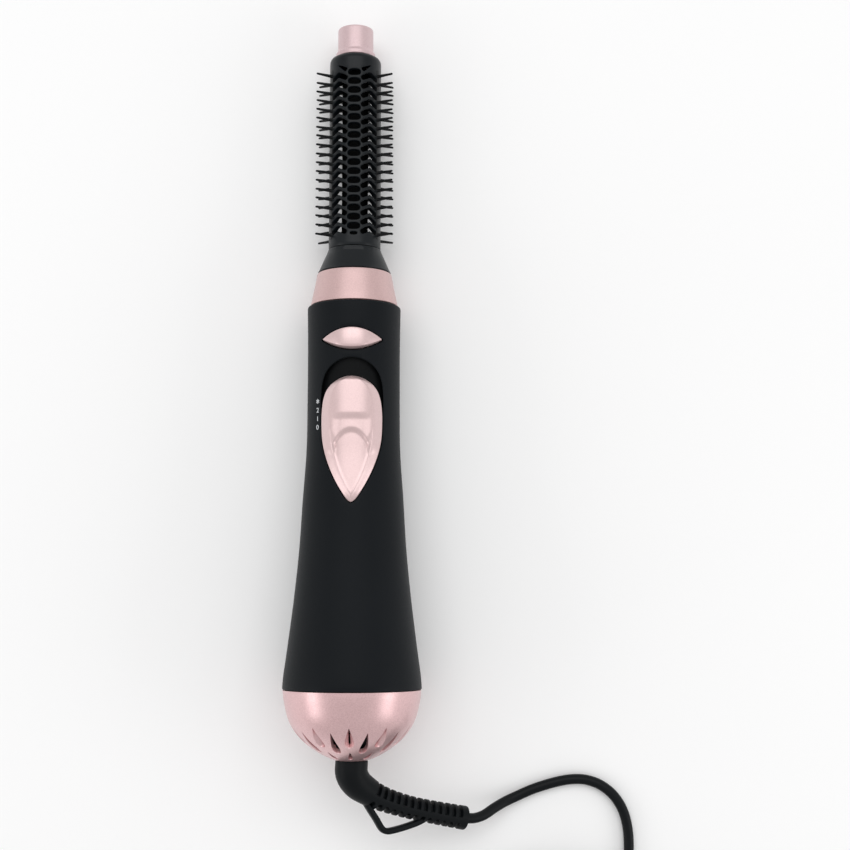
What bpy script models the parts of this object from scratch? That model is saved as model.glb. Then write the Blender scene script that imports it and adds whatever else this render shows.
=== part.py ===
# Hot air brush: a round brush head on a blower handle, with its mains cord.
#
# The tool lies on its back on a surface (z = 0), controls upwards.  It rests on
# the widest circle of the grip and on the grip's top edge, so its axis dips
# towards the tip.  Local tool frame: x to the right, s along the axis towards
# the tip, n out of the control side.  All driving dimensions in millimetres.
import math

import bmesh
import bpy
from mathutils import Matrix, Vector

MM = 0.001

# ------------------------------------------------------------ dimensions (mm)
GAP = 0.3                       # clearance between touching pieces
WALL = 1.8                      # casing wall

# grip: outer radius at stations along the axis
GRIP = [(-102.1, 26.6), (-101.8, 26.8), (-96.8, 26.4), (-87.3, 25.1),
        (-68.2, 22.7), (-48.9, 20.8), (-29.5, 19.6), (-9.9, 18.3),
        (9.9, 18.1), (29.8, 18.1), (45.6, 18.35), (46.6, 17.6)]
REST_LOW = (-101.8, 26.8)       # circle that rests on the surface, lower end
REST_HIGH = (45.6, 18.35)       # circle that rests on the surface, upper end
FRAME_Y = -15.99                # puts the middle of the tool at y = 0

# collar ring and the socket of the brush head
RING_S0, RING_S1 = 46.9, 59.9
RING_R0, RING_R1 = 17.2, 14.6
SOCKET_R = 13.25
SLEEVE_R, SLEEVE_RI = 12.9, 11.4
SKIRT_R0, SKIRT_R1 = 14.37, 10.45

# brush barrel
BARREL_R, BARREL_RI = 10.3, 9.0
BARREL_S0, BARREL_S1 = 70.0, 148.7
ROW_PITCH = 3.678
ROW_TOP = 140.07 + ROW_PITCH / 2
ROWS = 19
OVAL_H = 1.32                   # half height of an oval
SLOT_H = 1.05                   # half width of a side slot
RISE = 0.8                      # how far the side ribs climb
COMB_AZ = 62.0                  # azimuth of the bristle combs
BRISTLE_PITCH = 3.61
BRISTLE_TOP = 139.9
BRISTLES = 19
BRISTLE_R = 17.15
CAP_R = 7.1
TIP_S = 161.0

# inlet dome, outer profile (radius, station)
DOME = [(26.6, -102.4), (26.1, -107.0), (24.6, -113.0), (21.9, -117.6),
        (18.6, -121.6), (14.0, -125.1), (10.8, -127.0), (6.6, -128.9)]
NECK_R = 6.2

# slider: half width of its outline at stations
SLIDER = [(16.55, 0.9), (15.9, 3.8), (15.0, 6.0), (13.2, 8.34), (8.8, 10.55),
          (4.0, 11.4), (-0.85, 11.6), (-6.6, 11.35), (-11.0, 10.5),
          (-18.2, 8.2), (-25.0, 5.1), (-30.0, 1.9), (-31.35, 0.4)]
SLIDE_TRAVEL = 7.2
SLIDER_UNDER_R = 16.5
TRAY_R, TRAY_RI = 16.0, 14.5

# release button, a lens shape on a rocker
LENS_S, LENS_H, LENS_W = 31.35, 4.07, 11.3
PIVOT_S, PIVOT_N = 41.0, 14.6
RELEASE_DEG = 5.0

# mains cord
CORD_D = 4.0
COIL_C = (82.0, -219.0)         # world position of the coil's axis
COIL_R = (19.0, 23.0, 27.0)     # turn radii
COIL_Z0 = 2.9                   # height of the lowest turns
RELIEF_DROOP = 22.3             # how far the swivelled strain relief hangs, deg
# strain relief: (distance from the tool axis, station, radius) in its plane
RELIEF = [(0.0, -129.2, 6.25), (0.0, -133.6, 6.2), (2.2, -137.3, 5.9),
          (6.2, -140.3, 5.45), (10.8, -142.9, 5.1), (16.3, -145.2, 4.9),
          (24.6, -147.8, 4.75), (33.4, -149.9, 4.6), (42.3, -151.8, 4.5),
          (47.0, -152.75, 4.4)]
# hanging loop: centre line in the same plane
LOOP = [(4.4, -142.6), (7.0, -147.0), (10.0, -151.4), (12.2, -154.9),
        (14.2, -156.1), (17.2, -155.9), (22.0, -154.9), (27.0, -153.5),
        (31.2, -151.6)]
LOOP_T, LOOP_D = 2.1, 3.6
# free stretch of the cord, world x, y, z
CORD_ROUTE = [(44.0, -169.7, 11.7), (47.6, -169.9, 10.2), (51.3, -169.0, 8.4),
              (55.3, -166.8, 6.1), (59.9, -164.6, 3.7), (64.9, -162.6, 2.25), (70.0, -160.4, 2.0),
              (75.6, -158.5, 2.0), (80.8, -157.1, 2.0), (86.2, -156.2, 2.0),
              (92.2, -156.4, 2.0), (98.2, -158.6, 2.0), (103.3, -162.8, 2.0),
              (106.9, -168.8, 2.0), (108.7, -176.4, 2.0), (109.0, -185.0, 2.1),
              (109.0, -195.0, 2.3), (109.0, -203.2, 2.5)]
PLUG_U = 34.0                   # free cord between the coil and the plug
PLUG_L, PLUG_W, PLUG_T = 36.0, 35.3, 13.7
PIN_R, PIN_L, PIN_X = 2.0, 19.0, 9.3

TILT = math.atan((REST_LOW[1] - REST_HIGH[1]) / (REST_HIGH[0] - REST_LOW[0]))
FRAME_Z = REST_HIGH[0] * math.sin(TILT) + REST_HIGH[1] * math.cos(TILT)

# --------------------------------------------------------------- empty scene
for ob in list(bpy.data.objects):
    bpy.data.objects.remove(ob, do_unlink=True)

scene = bpy.context.scene
tool = bpy.data.objects.new("tool_frame", None)
tool.location = (0.0, FRAME_Y * MM, FRAME_Z * MM)
tool.rotation_euler = (-TILT, 0.0, 0.0)
scene.collection.objects.link(tool)


def material(name, color, rough, metal=0.0):
    m = bpy.data.materials.get(name)
    if m is None:
        m = bpy.data.materials.new(name)
        m.use_nodes = True
        p = m.node_tree.nodes["Principled BSDF"]
        p.inputs["Base Color"].default_value = (*color, 1.0)
        p.inputs["Roughness"].default_value = rough
        p.inputs["Metallic"].default_value = metal
    return m


def make(name, bm, look, parent=tool, sharp=35.0):
    """Close the bmesh into a named object with its own material."""
    bmesh.ops.remove_doubles(bm, verts=bm.verts, dist=1e-7)
    bmesh.ops.recalc_face_normals(bm, faces=bm.faces)
    me = bpy.data.meshes.new(name)
    bm.to_mesh(me)
    bm.free()
    ob = bpy.data.objects.new(name, me)
    scene.collection.objects.link(ob)
    ob.parent = parent
    me.shade_smooth()
    me.set_sharp_from_angle(angle=math.radians(sharp))
    if look is not None:
        me.materials.append(material(name + "_mat", *look))
    return ob


def at(r, az, s):
    """Point at radius r, azimuth az (degrees from the control side), station s."""
    a = math.radians(az)
    return Vector((r * math.sin(a), s, r * math.cos(a))) * MM


def revolve(prof, segs, az0=0.0, az1=360.0, bm=None):
    """Turn a profile of (radius, station) about the tool axis.

    A profile that starts and ends on the axis is left open there; any other
    profile is a closed loop.  A part turn gets flat ends.
    """
    bm = bm or bmesh.new()
    full = abs(az1 - az0) >= 359.999
    on_axis = prof[0][0] < 1e-9 and prof[-1][0] < 1e-9
    cols = segs if full else segs + 1
    grid = []
    for i in range(cols):
        az = az0 + (az1 - az0) * i / segs
        grid.append([bm.verts.new(at(r, az, s)) if (r > 1e-9 or i == 0)
                     else None for r, s in prof])
    for i in range(1, cols):
        for j, (r, s) in enumerate(prof):
            if r <= 1e-9:
                grid[i][j] = grid[0][j]
    m = len(prof)
    for i in range(segs):
        a, b = grid[i], grid[(i + 1) % cols]
        for j in range(m - 1 if on_axis else m):
            k = (j + 1) % m
            ring = []
            for v in (a[j], a[k], b[k], b[j]):
                if v not in ring:
                    ring.append(v)
            if len(ring) > 2:
                bm.faces.new(ring)
    if not full:
        bm.faces.new(grid[0])
        bm.faces.new(list(reversed(grid[-1])))
    return bm


def prism(outline, n0, n1, bm=None):
    """Extrude an outline of (x, s) from height n0 to n1."""
    bm = bm or bmesh.new()
    lo = [bm.verts.new(Vector((x, s, n0)) * MM) for x, s in outline]
    hi = [bm.verts.new(Vector((x, s, n1)) * MM) for x, s in outline]
    bm.faces.new(list(reversed(lo)))
    bm.faces.new(hi)
    for i in range(len(lo)):
        j = (i + 1) % len(lo)
        bm.faces.new((lo[i], lo[j], hi[j], hi[i]))
    return bm


def box(x0, x1, s0, s1, n0, n1, bm=None):
    return prism([(x0, s0), (x1, s0), (x1, s1), (x0, s1)], n0, n1, bm)


def annulus(outer, inner, s0, s1, segs, twist=0.0, steps=1):
    """Ring between two radius functions of azimuth, turned by twist along s."""
    bm = bmesh.new()
    rows = []
    for k in range(steps + 1):
        s = s0 + (s1 - s0) * k / steps
        tw = twist * k / steps
        rows.append([[bm.verts.new(at(fn(360.0 * i / segs), 360.0 * i / segs + tw, s))
                      for i in range(segs)] for fn in (outer, inner)])
    for i in range(segs):
        j = (i + 1) % segs
        for k in range(steps):
            for q in (0, 1):
                bm.faces.new((rows[k][q][i], rows[k][q][j], rows[k + 1][q][j], rows[k + 1][q][i]))
        for k in (0, steps):
            bm.faces.new((rows[k][0][i], rows[k][0][j], rows[k][1][j], rows[k][1][i]))
    return bm


def star(outer, s0, s1, segs, twist=0.0, steps=1):
    """Solid of a radius function of azimuth, turned by twist along s."""
    bm = bmesh.new()
    rows = []
    for k in range(steps + 1):
        s = s0 + (s1 - s0) * k / steps
        rows.append([bm.verts.new(at(outer(360.0 * i / segs),
                                     360.0 * i / segs + twist * k / steps, s))
                     for i in range(segs)])
    hubs = [bm.verts.new(Vector((0, s0, 0)) * MM), bm.verts.new(Vector((0, s1, 0)) * MM)]
    for i in range(segs):
        j = (i + 1) % segs
        for k in range(steps):
            bm.faces.new((rows[k][i], rows[k][j], rows[k + 1][j], rows[k + 1][i]))
        bm.faces.new((rows[0][i], rows[0][j], hubs[0]))
        bm.faces.new((rows[steps][i], rows[steps][j], hubs[1]))
    return bm


def smooth_path(pts, step, dims=3):
    """Centripetal-free Catmull-Rom curve through pts, resampled every step."""
    pts = [Vector(p) for p in pts]
    ext = [pts[0] * 2 - pts[1]] + pts + [pts[-1] * 2 - pts[-2]]
    fine = []
    for i in range(1, len(ext) - 2):
        p0, p1, p2, p3 = ext[i - 1:i + 3]
        for k in range(24):
            t = k / 24
            fine.append(0.5 * ((2 * p1) + (p2 - p0) * t
                               + (2 * p0 - 5 * p1 + 4 * p2 - p3) * t * t
                               + (3 * p1 - p0 - 3 * p2 + p3) * t ** 3))
    fine.append(pts[-1])
    run = [0.0]
    for a, b in zip(fine, fine[1:]):
        run.append(run[-1] + (b - a).length)
    n = max(2, round(run[-1] / step))
    out, k = [], 0
    for i in range(n + 1):
        d = run[-1] * i / n
        while k < len(run) - 2 and run[k + 1] < d:
            k += 1
        t = (d - run[k]) / max(run[k + 1] - run[k], 1e-9)
        out.append(fine[k].lerp(fine[k + 1], t))
    return out


def tube(name, pts, radius, look, parent=None, res=2):
    """Round wire along points in millimetres: a bevelled POLY curve, capped."""
    cu = bpy.data.curves.new(name, "CURVE")
    cu.dimensions = "3D"
    sp = cu.splines.new("POLY")
    sp.points.add(len(pts) - 1)
    for q, p in zip(sp.points, pts):
        q.co = (p[0] * MM, p[1] * MM, p[2] * MM, 1.0)
    cu.bevel_depth = radius * MM
    cu.bevel_resolution = res
    cu.use_fill_caps = True
    ob = bpy.data.objects.new(name, cu)
    scene.collection.objects.link(ob)
    ob.parent = parent
    cu.materials.append(material(name + "_mat", *look))
    return ob


def modify(ob, other, operation):
    """Boolean with a helper object that isn't part of the model."""
    other.hide_render = True
    other.display_type = "WIRE"
    md = ob.modifiers.new(operation.lower(), "BOOLEAN")
    md.operation = operation
    md.solver = "EXACT"
    md.object = other
    return ob


BLACK = ((0.013, 0.014, 0.016), 0.6)
SATIN = ((0.010, 0.010, 0.011), 0.35)
ROSE = ((0.72, 0.47, 0.46), 0.3, 0.65)
STEEL = ((0.6, 0.6, 0.62), 0.3, 1.0)
NYLON = ((0.55, 0.53, 0.5), 0.5)


# --------------------------------------------------------------------- grip
def grip_r(s):
    for (s0, r0), (s1, r1) in zip(GRIP, GRIP[1:]):
        if s <= s1:
            return r0 + (r1 - r0) * max(0.0, s - s0) / (s1 - s0)
    return GRIP[-1][1]


inner = [(grip_r(s) - WALL, s) for s in (45.6, 29.8, 9.9, -9.9, -29.5, -48.9, -68.2, -87.3)]
grip_profile = ([(r, s) for s, r in GRIP]
                + [(16.55, 46.6)] + inner + [(24.75, -99.0), (24.75, -102.1)])

front = make("handle_shell_front", revolve(grip_profile, 16, -89.5, 89.5), BLACK)
rear = make("handle_shell_rear", revolve(grip_profile, 16, 90.5, 269.5), BLACK)


def slider_w(s):
    if s >= SLIDER[0][0] or s <= SLIDER[-1][0]:
        return 0.0
    for (s0, w0), (s1, w1) in zip(SLIDER, SLIDER[1:]):
        if s >= s1:
            return w0 + (w1 - w0) * (s0 - s) / (s0 - s1)
    return 0.0


# the recess is the slider's outline swept over its travel, plus clearance
c = 0.35
widest = 6
right = [(w + c, s + SLIDE_TRAVEL) for s, w in SLIDER[:widest + 1]]
right[0] = (SLIDER[0][1] + c, SLIDER[0][0] + SLIDE_TRAVEL + c)
right += [(w + c, s) for s, w in SLIDER[widest:]]
right[-1] = (SLIDER[-1][1] + c, SLIDER[-1][0] - c)
recess = right + [(-x, s) for x, s in reversed(right)]
cut_recess = make("cut_recess", prism(recess, 8.0, 30.0), None)
modify(front, cut_recess, "DIFFERENCE")


def lens(grow, count=14):
    xs = [-LENS_W * math.cos(math.pi * i / count) for i in range(count + 1)]
    up = [(x * (1 + grow / LENS_W), LENS_S + (LENS_H + grow) * (1 - (x / LENS_W) ** 2)) for x in xs]
    lo = [(x, 2 * LENS_S - s) for x, s in reversed(up)]
    return up + lo[1:-1]


cut_lens = make("cut_lens", prism(lens(0.4, 10), 8.0, 30.0), None)
modify(front, cut_lens, "DIFFERENCE")

# curved track plate under the recess, with the slot for the slider's stem
tray = make("slider_tray", revolve([(TRAY_RI, -34.5), (TRAY_R, -34.5), (TRAY_R, 26.6), (TRAY_RI, 26.6)],
                                   12, -56.0, 56.0), SATIN)
cut_slot = make("cut_slot", box(-2.1, 2.1, -3.4, 10.6, 10.0, 20.0), None)
modify(tray, cut_slot, "DIFFERENCE")

# collar ring with the pocket of the latch
ring = make("collar_ring", revolve(
    [(SOCKET_R, 44.2), (15.9, 44.2), (15.9, RING_S0), (RING_R0, RING_S0),
     (RING_R1 + 0.25, RING_S1 - 0.4), (RING_R1, RING_S1), (SOCKET_R, RING_S1)], 36), ROSE)
cut_pocket = make("cut_pocket", box(-3.0, 3.0, 43.5, 53.0, 12.0, 15.4), None)
modify(ring, cut_pocket, "DIFFERENCE")

# --------------------------------------------------------------- inlet dome
dome_inner = [(6.6, -121.0), (8.4, -121.0), (8.4, -126.0), (12.8, -123.4), (17.0, -120.0),
              (20.8, -115.4), (23.2, -110.0), (22.8, -98.5), (24.3, -98.5), (24.3, -102.4)]
dome = make("inlet_dome", revolve(DOME + dome_inner, 30), ROSE)


def dome_point(u):
    """Point and outward normal on the dome's outer profile at station u."""
    for (r0, s0), (r1, s1) in zip(DOME, DOME[1:]):
        if u >= s1:
            t = (s0 - u) / (s0 - s1)
            nr, ns = (s0 - s1), -(r0 - r1)
            k = math.hypot(nr, ns)
            return r0 + (r1 - r0) * t, u, nr / k, ns / k
    return DOME[-1][0], u, 0.0, -1.0


slots = bmesh.new()
for count, turn, s_a, s_b, half in ((10, 0.0, -115.5, -123.0, 1.7),
                                    (10, 18.0, -116.9, -125.2, 1.7),
                                    (10, 0.0, -125.1, -127.6, 0.8)):
    for i in range(count):
        az = turn + 360.0 * i / count
        out = []
        for f, w in ((0.0, 0.12), (0.75, 1.0), (1.0, 0.5)):
            r, s, nr, ns = dome_point(s_a + (s_b - s_a) * f)
            out.append((r, s, half * w))
        _, _, nr, ns = dome_point(s_a + (s_b - s_a) * 0.6)
        layers = []
        for lift in (1.6, -3.4):
            pts = []
            for sign, seq in ((1, out), (-1, list(reversed(out)))):
                for r, s, w in seq:
                    p = Vector((sign * w, s + ns * lift, r + nr * lift)) * MM
                    p.rotate(Matrix.Rotation(math.radians(az), 3, "Y"))
                    pts.append(slots.verts.new(p))
            layers.append(pts)
        slots.faces.new(layers[0])
        slots.faces.new(list(reversed(layers[1])))
        for a in range(6):
            b = (a + 1) % 6
            slots.faces.new((layers[0][a], layers[0][b], layers[1][b], layers[1][a]))
cut_vents = make("cut_vents", slots, None)
modify(dome, cut_vents, "DIFFERENCE")

make("inlet_filter", revolve([(7.0, -103.9), (19.6, -103.9), (19.6, -103.2), (7.0, -103.2)], 32), NYLON)
make("cord_clamp", box(-18.0, 18.0, -118.0, -114.6, -3.0, 3.0), SATIN)

# ------------------------------------------------------------ motor and fan
make("motor_can", revolve([(1.3, -84.0), (14.0, -84.0), (14.0, -60.0), (1.3, -60.0)], 24), STEEL)
make("motor_end_cap", revolve([(1.3, -59.7), (12.6, -59.7), (12.6, -56.6), (4.0, -56.6), (4.0, -55.4),
                               (1.3, -55.4)], 24), SATIN)


def mount_r(az):
    return 21.3 if abs((az - 45.0 + 45.0) % 90.0 - 45.0) < 7.0 else 16.2


make("motor_mount", annulus(mount_r, lambda az: 14.3, -78.0, -74.5, 48), SATIN)
make("motor_shaft", revolve([(0.0, -87.7), (1.0, -87.7), (1.0, -55.0), (0.0, -55.0)], 12), STEEL)


def blade_r(az):
    return 18.3 if (az % (360.0 / 7.0)) < 13.0 else 7.5


make("fan_impeller", star(blade_r, -97.0, -88.0, 56, twist=34.0, steps=3), SATIN)

# -------------------------------------------------------- heater and outlet
make("heater_tube", revolve([(10.2, 16.0), (10.9, 16.0), (10.9, 49.0), (10.2, 49.0)], 32), NYLON)
bm = prism([(-7.5, -0.4), (-0.4, -0.4), (-0.4, -7.5), (0.4, -7.5), (0.4, -0.4), (7.5, -0.4),
            (7.5, 0.4), (0.4, 0.4), (0.4, 7.5), (-0.4, 7.5), (-0.4, 0.4), (-7.5, 0.4)], 18.0, 47.0)
for v in bm.verts:                          # stand the cross along the axis
    v.co = Vector((v.co.x, v.co.z, v.co.y))
make("heater_core", bm, ((0.6, 0.52, 0.4), 0.7))
turns, per = 6, 10
tube("heater_coil", [(8.4 * math.sin(2 * math.pi * i / per), 20.0 + 25.0 * i / (turns * per),
                      8.4 * math.cos(2 * math.pi * i / per)) for i in range(turns * per + 1)],
     0.3, STEEL, tool, res=0)
make("thermostat", box(1.2, 4.8, 20.5, 28.0, 1.2, 4.4), STEEL)
bm = revolve([(0.0, 21.0), (1.4, 21.0), (1.4, 31.0), (0.0, 31.0)], 12)
bmesh.ops.translate(bm, verts=bm.verts, vec=Vector((-3.4, 0, -3.4)) * MM)
make("thermal_fuse", bm, NYLON)
make("outlet_nozzle", revolve([(8.4, 49.3), (10.9, 49.3), (10.9, 50.8), (9.4, 50.8),
                               (9.4, 62.5), (8.4, 62.5)], 32), SATIN)
grille = make("outlet_grille", revolve([(0.0, 60.4), (8.1, 60.4), (8.1, 61.6), (0.0, 61.6)], 32), SATIN)
bm = bmesh.new()
for k in range(4):
    az0 = 90.0 * k
    pts = [(2.0, az0 + 28.0), (2.0, az0 + 62.0)] + [(7.0, az0 + 82.0 - 18.5 * q) for q in range(5)]
    top = [bm.verts.new(at(r, az, 63.0)) for r, az in pts]
    bot = [bm.verts.new(at(r, az, 59.0)) for r, az in pts]
    bm.faces.new(top)
    bm.faces.new(list(reversed(bot)))
    for a in range(len(pts)):
        b = (a + 1) % len(pts)
        bm.faces.new((top[a], top[b], bot[b], bot[a]))
cut_grille = make("cut_grille", bm, None)
modify(grille, cut_grille, "DIFFERENCE")

# --------------------------------------------------------- switch and board
make("circuit_board", box(-9.0, 9.0, -45.0, 12.0, 3.6, 5.2), ((0.05, 0.2, 0.09), 0.5))
make("switch_body", box(-7.5, 7.5, -20.0, 15.4, 5.6, 11.5), SATIN)
for name, x in (("lead_live", 3.2), ("lead_neutral", -3.2)):
    route = [(x, -113.5, -1.5), (x, -111.8, -6.0), (x, -109.6, -14.5), (x, -106.8, -20.2),
             (x, -103.0, -21.4), (x, -96.0, -21.4), (x, -85.0, -21.0), (x, -72.0, -19.0), (x, -60.0, -17.2),
             (x, -53.5, -14.0), (x, -50.0, -6.5), (x, -48.2, 1.0), (x, -45.5, 4.4)]
    tube(name, smooth_path(route, 5.0), 0.8, SATIN if x > 0 else NYLON, tool, res=1)

# ------------------------------------------------------------------- slider
bm = bmesh.new()
rows = []
s_min, s_max = SLIDER[-1][0], SLIDER[0][0]
for s, w in SLIDER:
    row = []
    flat = min(1.0, (s_max - s) / 5.0, (s - s_min) / 9.0)
    for f in (-1.0, -0.6, 0.0, 0.6, 1.0):
        row.append(bm.verts.new(Vector((w * f, s, math.sqrt(SLIDER_UNDER_R ** 2 - (w * f) ** 2))) * MM))
    for f in (1.0, 0.78, 0.4, 0.0, -0.4, -0.78, -1.0):
        x = w * f
        top = math.sqrt(18.1 ** 2 - x * x) + 0.7 + 2.3 * (1 - abs(f) ** 2.6) * max(0.15, flat) ** 0.6
        row.append(bm.verts.new(Vector((x, s, top)) * MM))
    rows.append(row)
for a, b in zip(rows, rows[1:]):
    for j in range(12):
        k = (j + 1) % 12
        bm.faces.new((a[j], a[k], b[k], b[j]))
bm.faces.new(rows[0])
bm.faces.new(list(reversed(rows[-1])))
slider = make("slider_button", bm, ROSE, sharp=40.0)
stem = make("stem", box(-1.7, 1.7, -2.6, 2.6, 15.1, 17.6), None)
modify(slider, stem, "UNION")
bm = prism([(-5.0, -12.0), (5.0, -12.0), (5.0, 8.0), (-5.0, 8.0)], 11.8, 12.9)
carriage = make("slider_carriage", bm, NYLON)
boss = make("boss", box(-1.5, 1.5, -2.2, 2.2, 12.5, 14.8), None)
modify(carriage, boss, "UNION")

# ----------------------------------------------------------- release rocker
rocker = bpy.data.objects.new("release_axis", None)
rocker.location = Vector((0.0, PIVOT_S, PIVOT_N)) * MM
rocker.parent = tool
scene.collection.objects.link(rocker)


def to_rocker(bm):
    bmesh.ops.translate(bm, verts=bm.verts, vec=-Vector((0.0, PIVOT_S, PIVOT_N)) * MM)
    return bm


bm = bmesh.new()
count = 12
rows = []
for i in range(count + 1):
    x = -LENS_W * math.cos(math.pi * i / count) * 0.999
    h = max(0.12, LENS_H * (1 - (x / LENS_W) ** 2))
    swell = (1 - (x / LENS_W) ** 2)
    row = []
    for f in (-1.0, 1.0):
        row.append(bm.verts.new(Vector((x, LENS_S + h * f, math.sqrt(15.4 ** 2 - x * x))) * MM))
    for f in (1.0, 0.6, 0.0, -0.6, -1.0):
        top = math.sqrt(18.1 ** 2 - x * x) + 0.5 + 1.6 * swell - 0.5 * f * f * swell
        row.append(bm.verts.new(Vector((x, LENS_S + h * f, top)) * MM))
    rows.append(row)
for a, b in zip(rows, rows[1:]):
    for j in range(7):
        k = (j + 1) % 7
        bm.faces.new((a[j], a[k], b[k], b[j]))
bm.faces.new(rows[0])
bm.faces.new(list(reversed(rows[-1])))
release = make("release_button", to_rocker(bm), ROSE, parent=rocker, sharp=40.0)
arm = prism([(29.6, 13.2), (38.9, 13.2), (39.4, 12.8), (42.6, 12.8), (43.1, 13.2), (52.5, 13.2),
             (52.5, 14.2), (43.3, 14.2), (42.4, 15.85), (39.6, 15.85), (38.6, 14.2), (34.2, 14.2),
             (34.2, 16.0), (29.6, 16.0)], -2.4, 2.4)
for v in arm.verts:                         # the arm's side outline is (s, n)
    v.co = Vector((v.co.z, v.co.x, v.co.y))
arm = make("arm", to_rocker(arm), None, parent=rocker)
modify(release, arm, "UNION")
pin_hole = [(0.85 * math.cos(2 * math.pi * i / 12), 0.85 * math.sin(2 * math.pi * i / 12)) for i in range(12)]
bm = prism(pin_hole, -4.0, 4.0)
for v in bm.verts:
    v.co = Vector((v.co.z, v.co.x, v.co.y))
pin_cut = make("pin_cut", bm, None, parent=rocker)
modify(release, pin_cut, "DIFFERENCE")
bm = prism([(0.5 * math.cos(2 * math.pi * i / 12), 0.5 * math.sin(2 * math.pi * i / 12)) for i in range(12)],
           -4.9, 4.9)
for v in bm.verts:
    v.co = Vector((v.co.z, v.co.x, v.co.y)) + Vector((0.0, PIVOT_S, PIVOT_N)) * MM
make("release_pin", bm, STEEL)
turns, per = 3, 10
tube("release_spring", [(1.5 * math.cos(2 * math.pi * i / per), LENS_S + 1.5 * math.sin(2 * math.pi * i / per),
                         11.45 + 1.25 * i / (turns * per)) for i in range(turns * per + 1)],
     0.18, STEEL, tool, res=0)

# --------------------------------------------------------------- brush head
skirt = make("brush_skirt", revolve(
    [(SLEEVE_RI, 50.3), (SLEEVE_R, 50.3), (SLEEVE_R, 60.2), (SKIRT_R0, 60.2), (13.9, 61.6),
     (12.2, 65.4), (SKIRT_R1, 69.7), (9.2, 69.7), (9.2, 64.0), (SLEEVE_RI, 61.0)], 28), SATIN)
cut_latch = make("cut_latch", box(-2.8, 2.8, 50.9, 52.7, 12.2, 16.0), None)
modify(skirt, cut_latch, "DIFFERENCE")


def rib(az):
    """How far the lattice climbs at an azimuth within a quarter."""
    return max(0.0, RISE * (az - 16.0) / 39.0)


def barrel_mesh():
    bm = bmesh.new()
    made = {}
    edge = 55.0
    far = 2 * COMB_AZ - edge
    top, bottom = ROW_TOP, ROW_TOP - ROWS * ROW_PITCH
    s_hi, s_lo = 144.4, 71.2

    def vert(r, az, s):
        key = (round(r, 4), round(az % 360.0, 4), round(s, 4))
        if key not in made:
            made[key] = bm.verts.new(at(r, az, s))
        return made[key]

    def quarter(side, back):
        def turn(az):
            return side * (180.0 - az) if back else side * az

        def skin(pts):
            for r in (BARREL_R, BARREL_RI):
                bm.faces.new([vert(r, turn(a), s) for a, s in pts])

        def wall(pts, loop=True):
            n = len(pts)
            for i in range(n if loop else n - 1):
                (a0, t0), (a1, t1) = pts[i], pts[(i + 1) % n]
                if abs(a0) < 1e-9 and abs(a1) < 1e-9:
                    continue
                bm.faces.new((vert(BARREL_R, turn(a0), t0), vert(BARREL_R, turn(a1), t1),
                              vert(BARREL_RI, turn(a1), t1), vert(BARREL_RI, turn(a0), t0)))

        for k in range(ROWS):
            b1, b0 = top - k * ROW_PITCH, top - (k + 1) * ROW_PITCH
            mid = (b0 + b1) / 2
            last = k == ROWS - 1                 # plain but for a small oval
            h = 0.65 if last else OVAL_H
            mid += 0.75 if last else 0.0
            T = [(a, b1 + rib(a)) for a in (0.0, 16.0, edge)]
            B = [(a, b0 + rib(a)) for a in (0.0, 16.0, edge)]
            O = [(0.0, mid + h), (12.0, mid + 0.6 * h), (12.0, mid - 0.6 * h), (0.0, mid - h)]
            if last:
                skin([T[0], T[1], O[1], O[0]])
                skin([T[1], B[1], O[2], O[1]])
                skin([O[2], B[1], B[0], O[3]])
                skin([T[1], T[2], B[2], B[1]])
                wall(O, loop=False)
                wall([T[2], B[2]], loop=False)
                continue
            U = [(20.0, mid + rib(20.0) + SLOT_H), (50.0, mid + rib(50.0) + SLOT_H)]
            L = [(a, s - 2 * SLOT_H) for a, s in U]
            skin([T[0], T[1], O[1], O[0]])
            skin([T[1], U[0], L[0], B[1], O[2], O[1]])
            skin([O[2], B[1], B[0], O[3]])
            skin([T[1], T[2], U[1], U[0]])
            skin([T[2], B[2], L[1], U[1]])
            skin([B[2], B[1], L[0], L[1]])
            wall(O, loop=False)
            wall(U + list(reversed(L)))
            wall([T[2], B[2]], loop=False)
        t_out, b_out = top + rib(edge), bottom + rib(edge)
        wall([(edge, t_out), (far, t_out)], loop=False)
        wall([(edge, b_out), (far, b_out)], loop=False)
        wall([(far, t_out), (far, b_out)], loop=False)
        for base, goal in ((top, s_hi), (bottom, s_lo)):
            cols = [0.0, 16.0, edge]
            for a, b in zip(cols, cols[1:]):
                skin([(a, base + rib(a)), (b, base + rib(b)), (b, goal), (a, goal)])
            skin([(edge, base + rib(edge)), (far, base + rib(edge)), (far, goal), (edge, goal)])
            skin([(far, base + rib(edge)), (90.0, base + rib(edge)), (90.0, goal), (far, goal)])
        skin([(far, b_out), (90.0, b_out), (90.0, t_out), (far, t_out)])
        cols = [0.0, 16.0, edge, far, 90.0]
        up = [(BARREL_R, s_hi), (BARREL_R, 146.7), (9.8, 148.1), (8.4, BARREL_S1), (5.35, BARREL_S1),
              (5.35, 146.9), (BARREL_RI, 146.9), (BARREL_RI, s_hi)]
        dn = [(BARREL_R, s_lo), (BARREL_R, BARREL_S0), (8.9, BARREL_S0), (8.9, 64.3), (7.9, 64.3),
              (7.9, 70.0), (BARREL_RI, s_lo)]
        for prof in (up, dn):
            for (r0, s0), (r1, s1) in zip(prof, prof[1:]):
                for a, b in zip(cols, cols[1:]):
                    bm.faces.new((vert(r0, turn(a), s0), vert(r0, turn(b), s0),
                                  vert(r1, turn(b), s1), vert(r1, turn(a), s1)))

    for side in (1.0, -1.0):
        for back in (False, True):
            quarter(side, back)
    return bm


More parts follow.
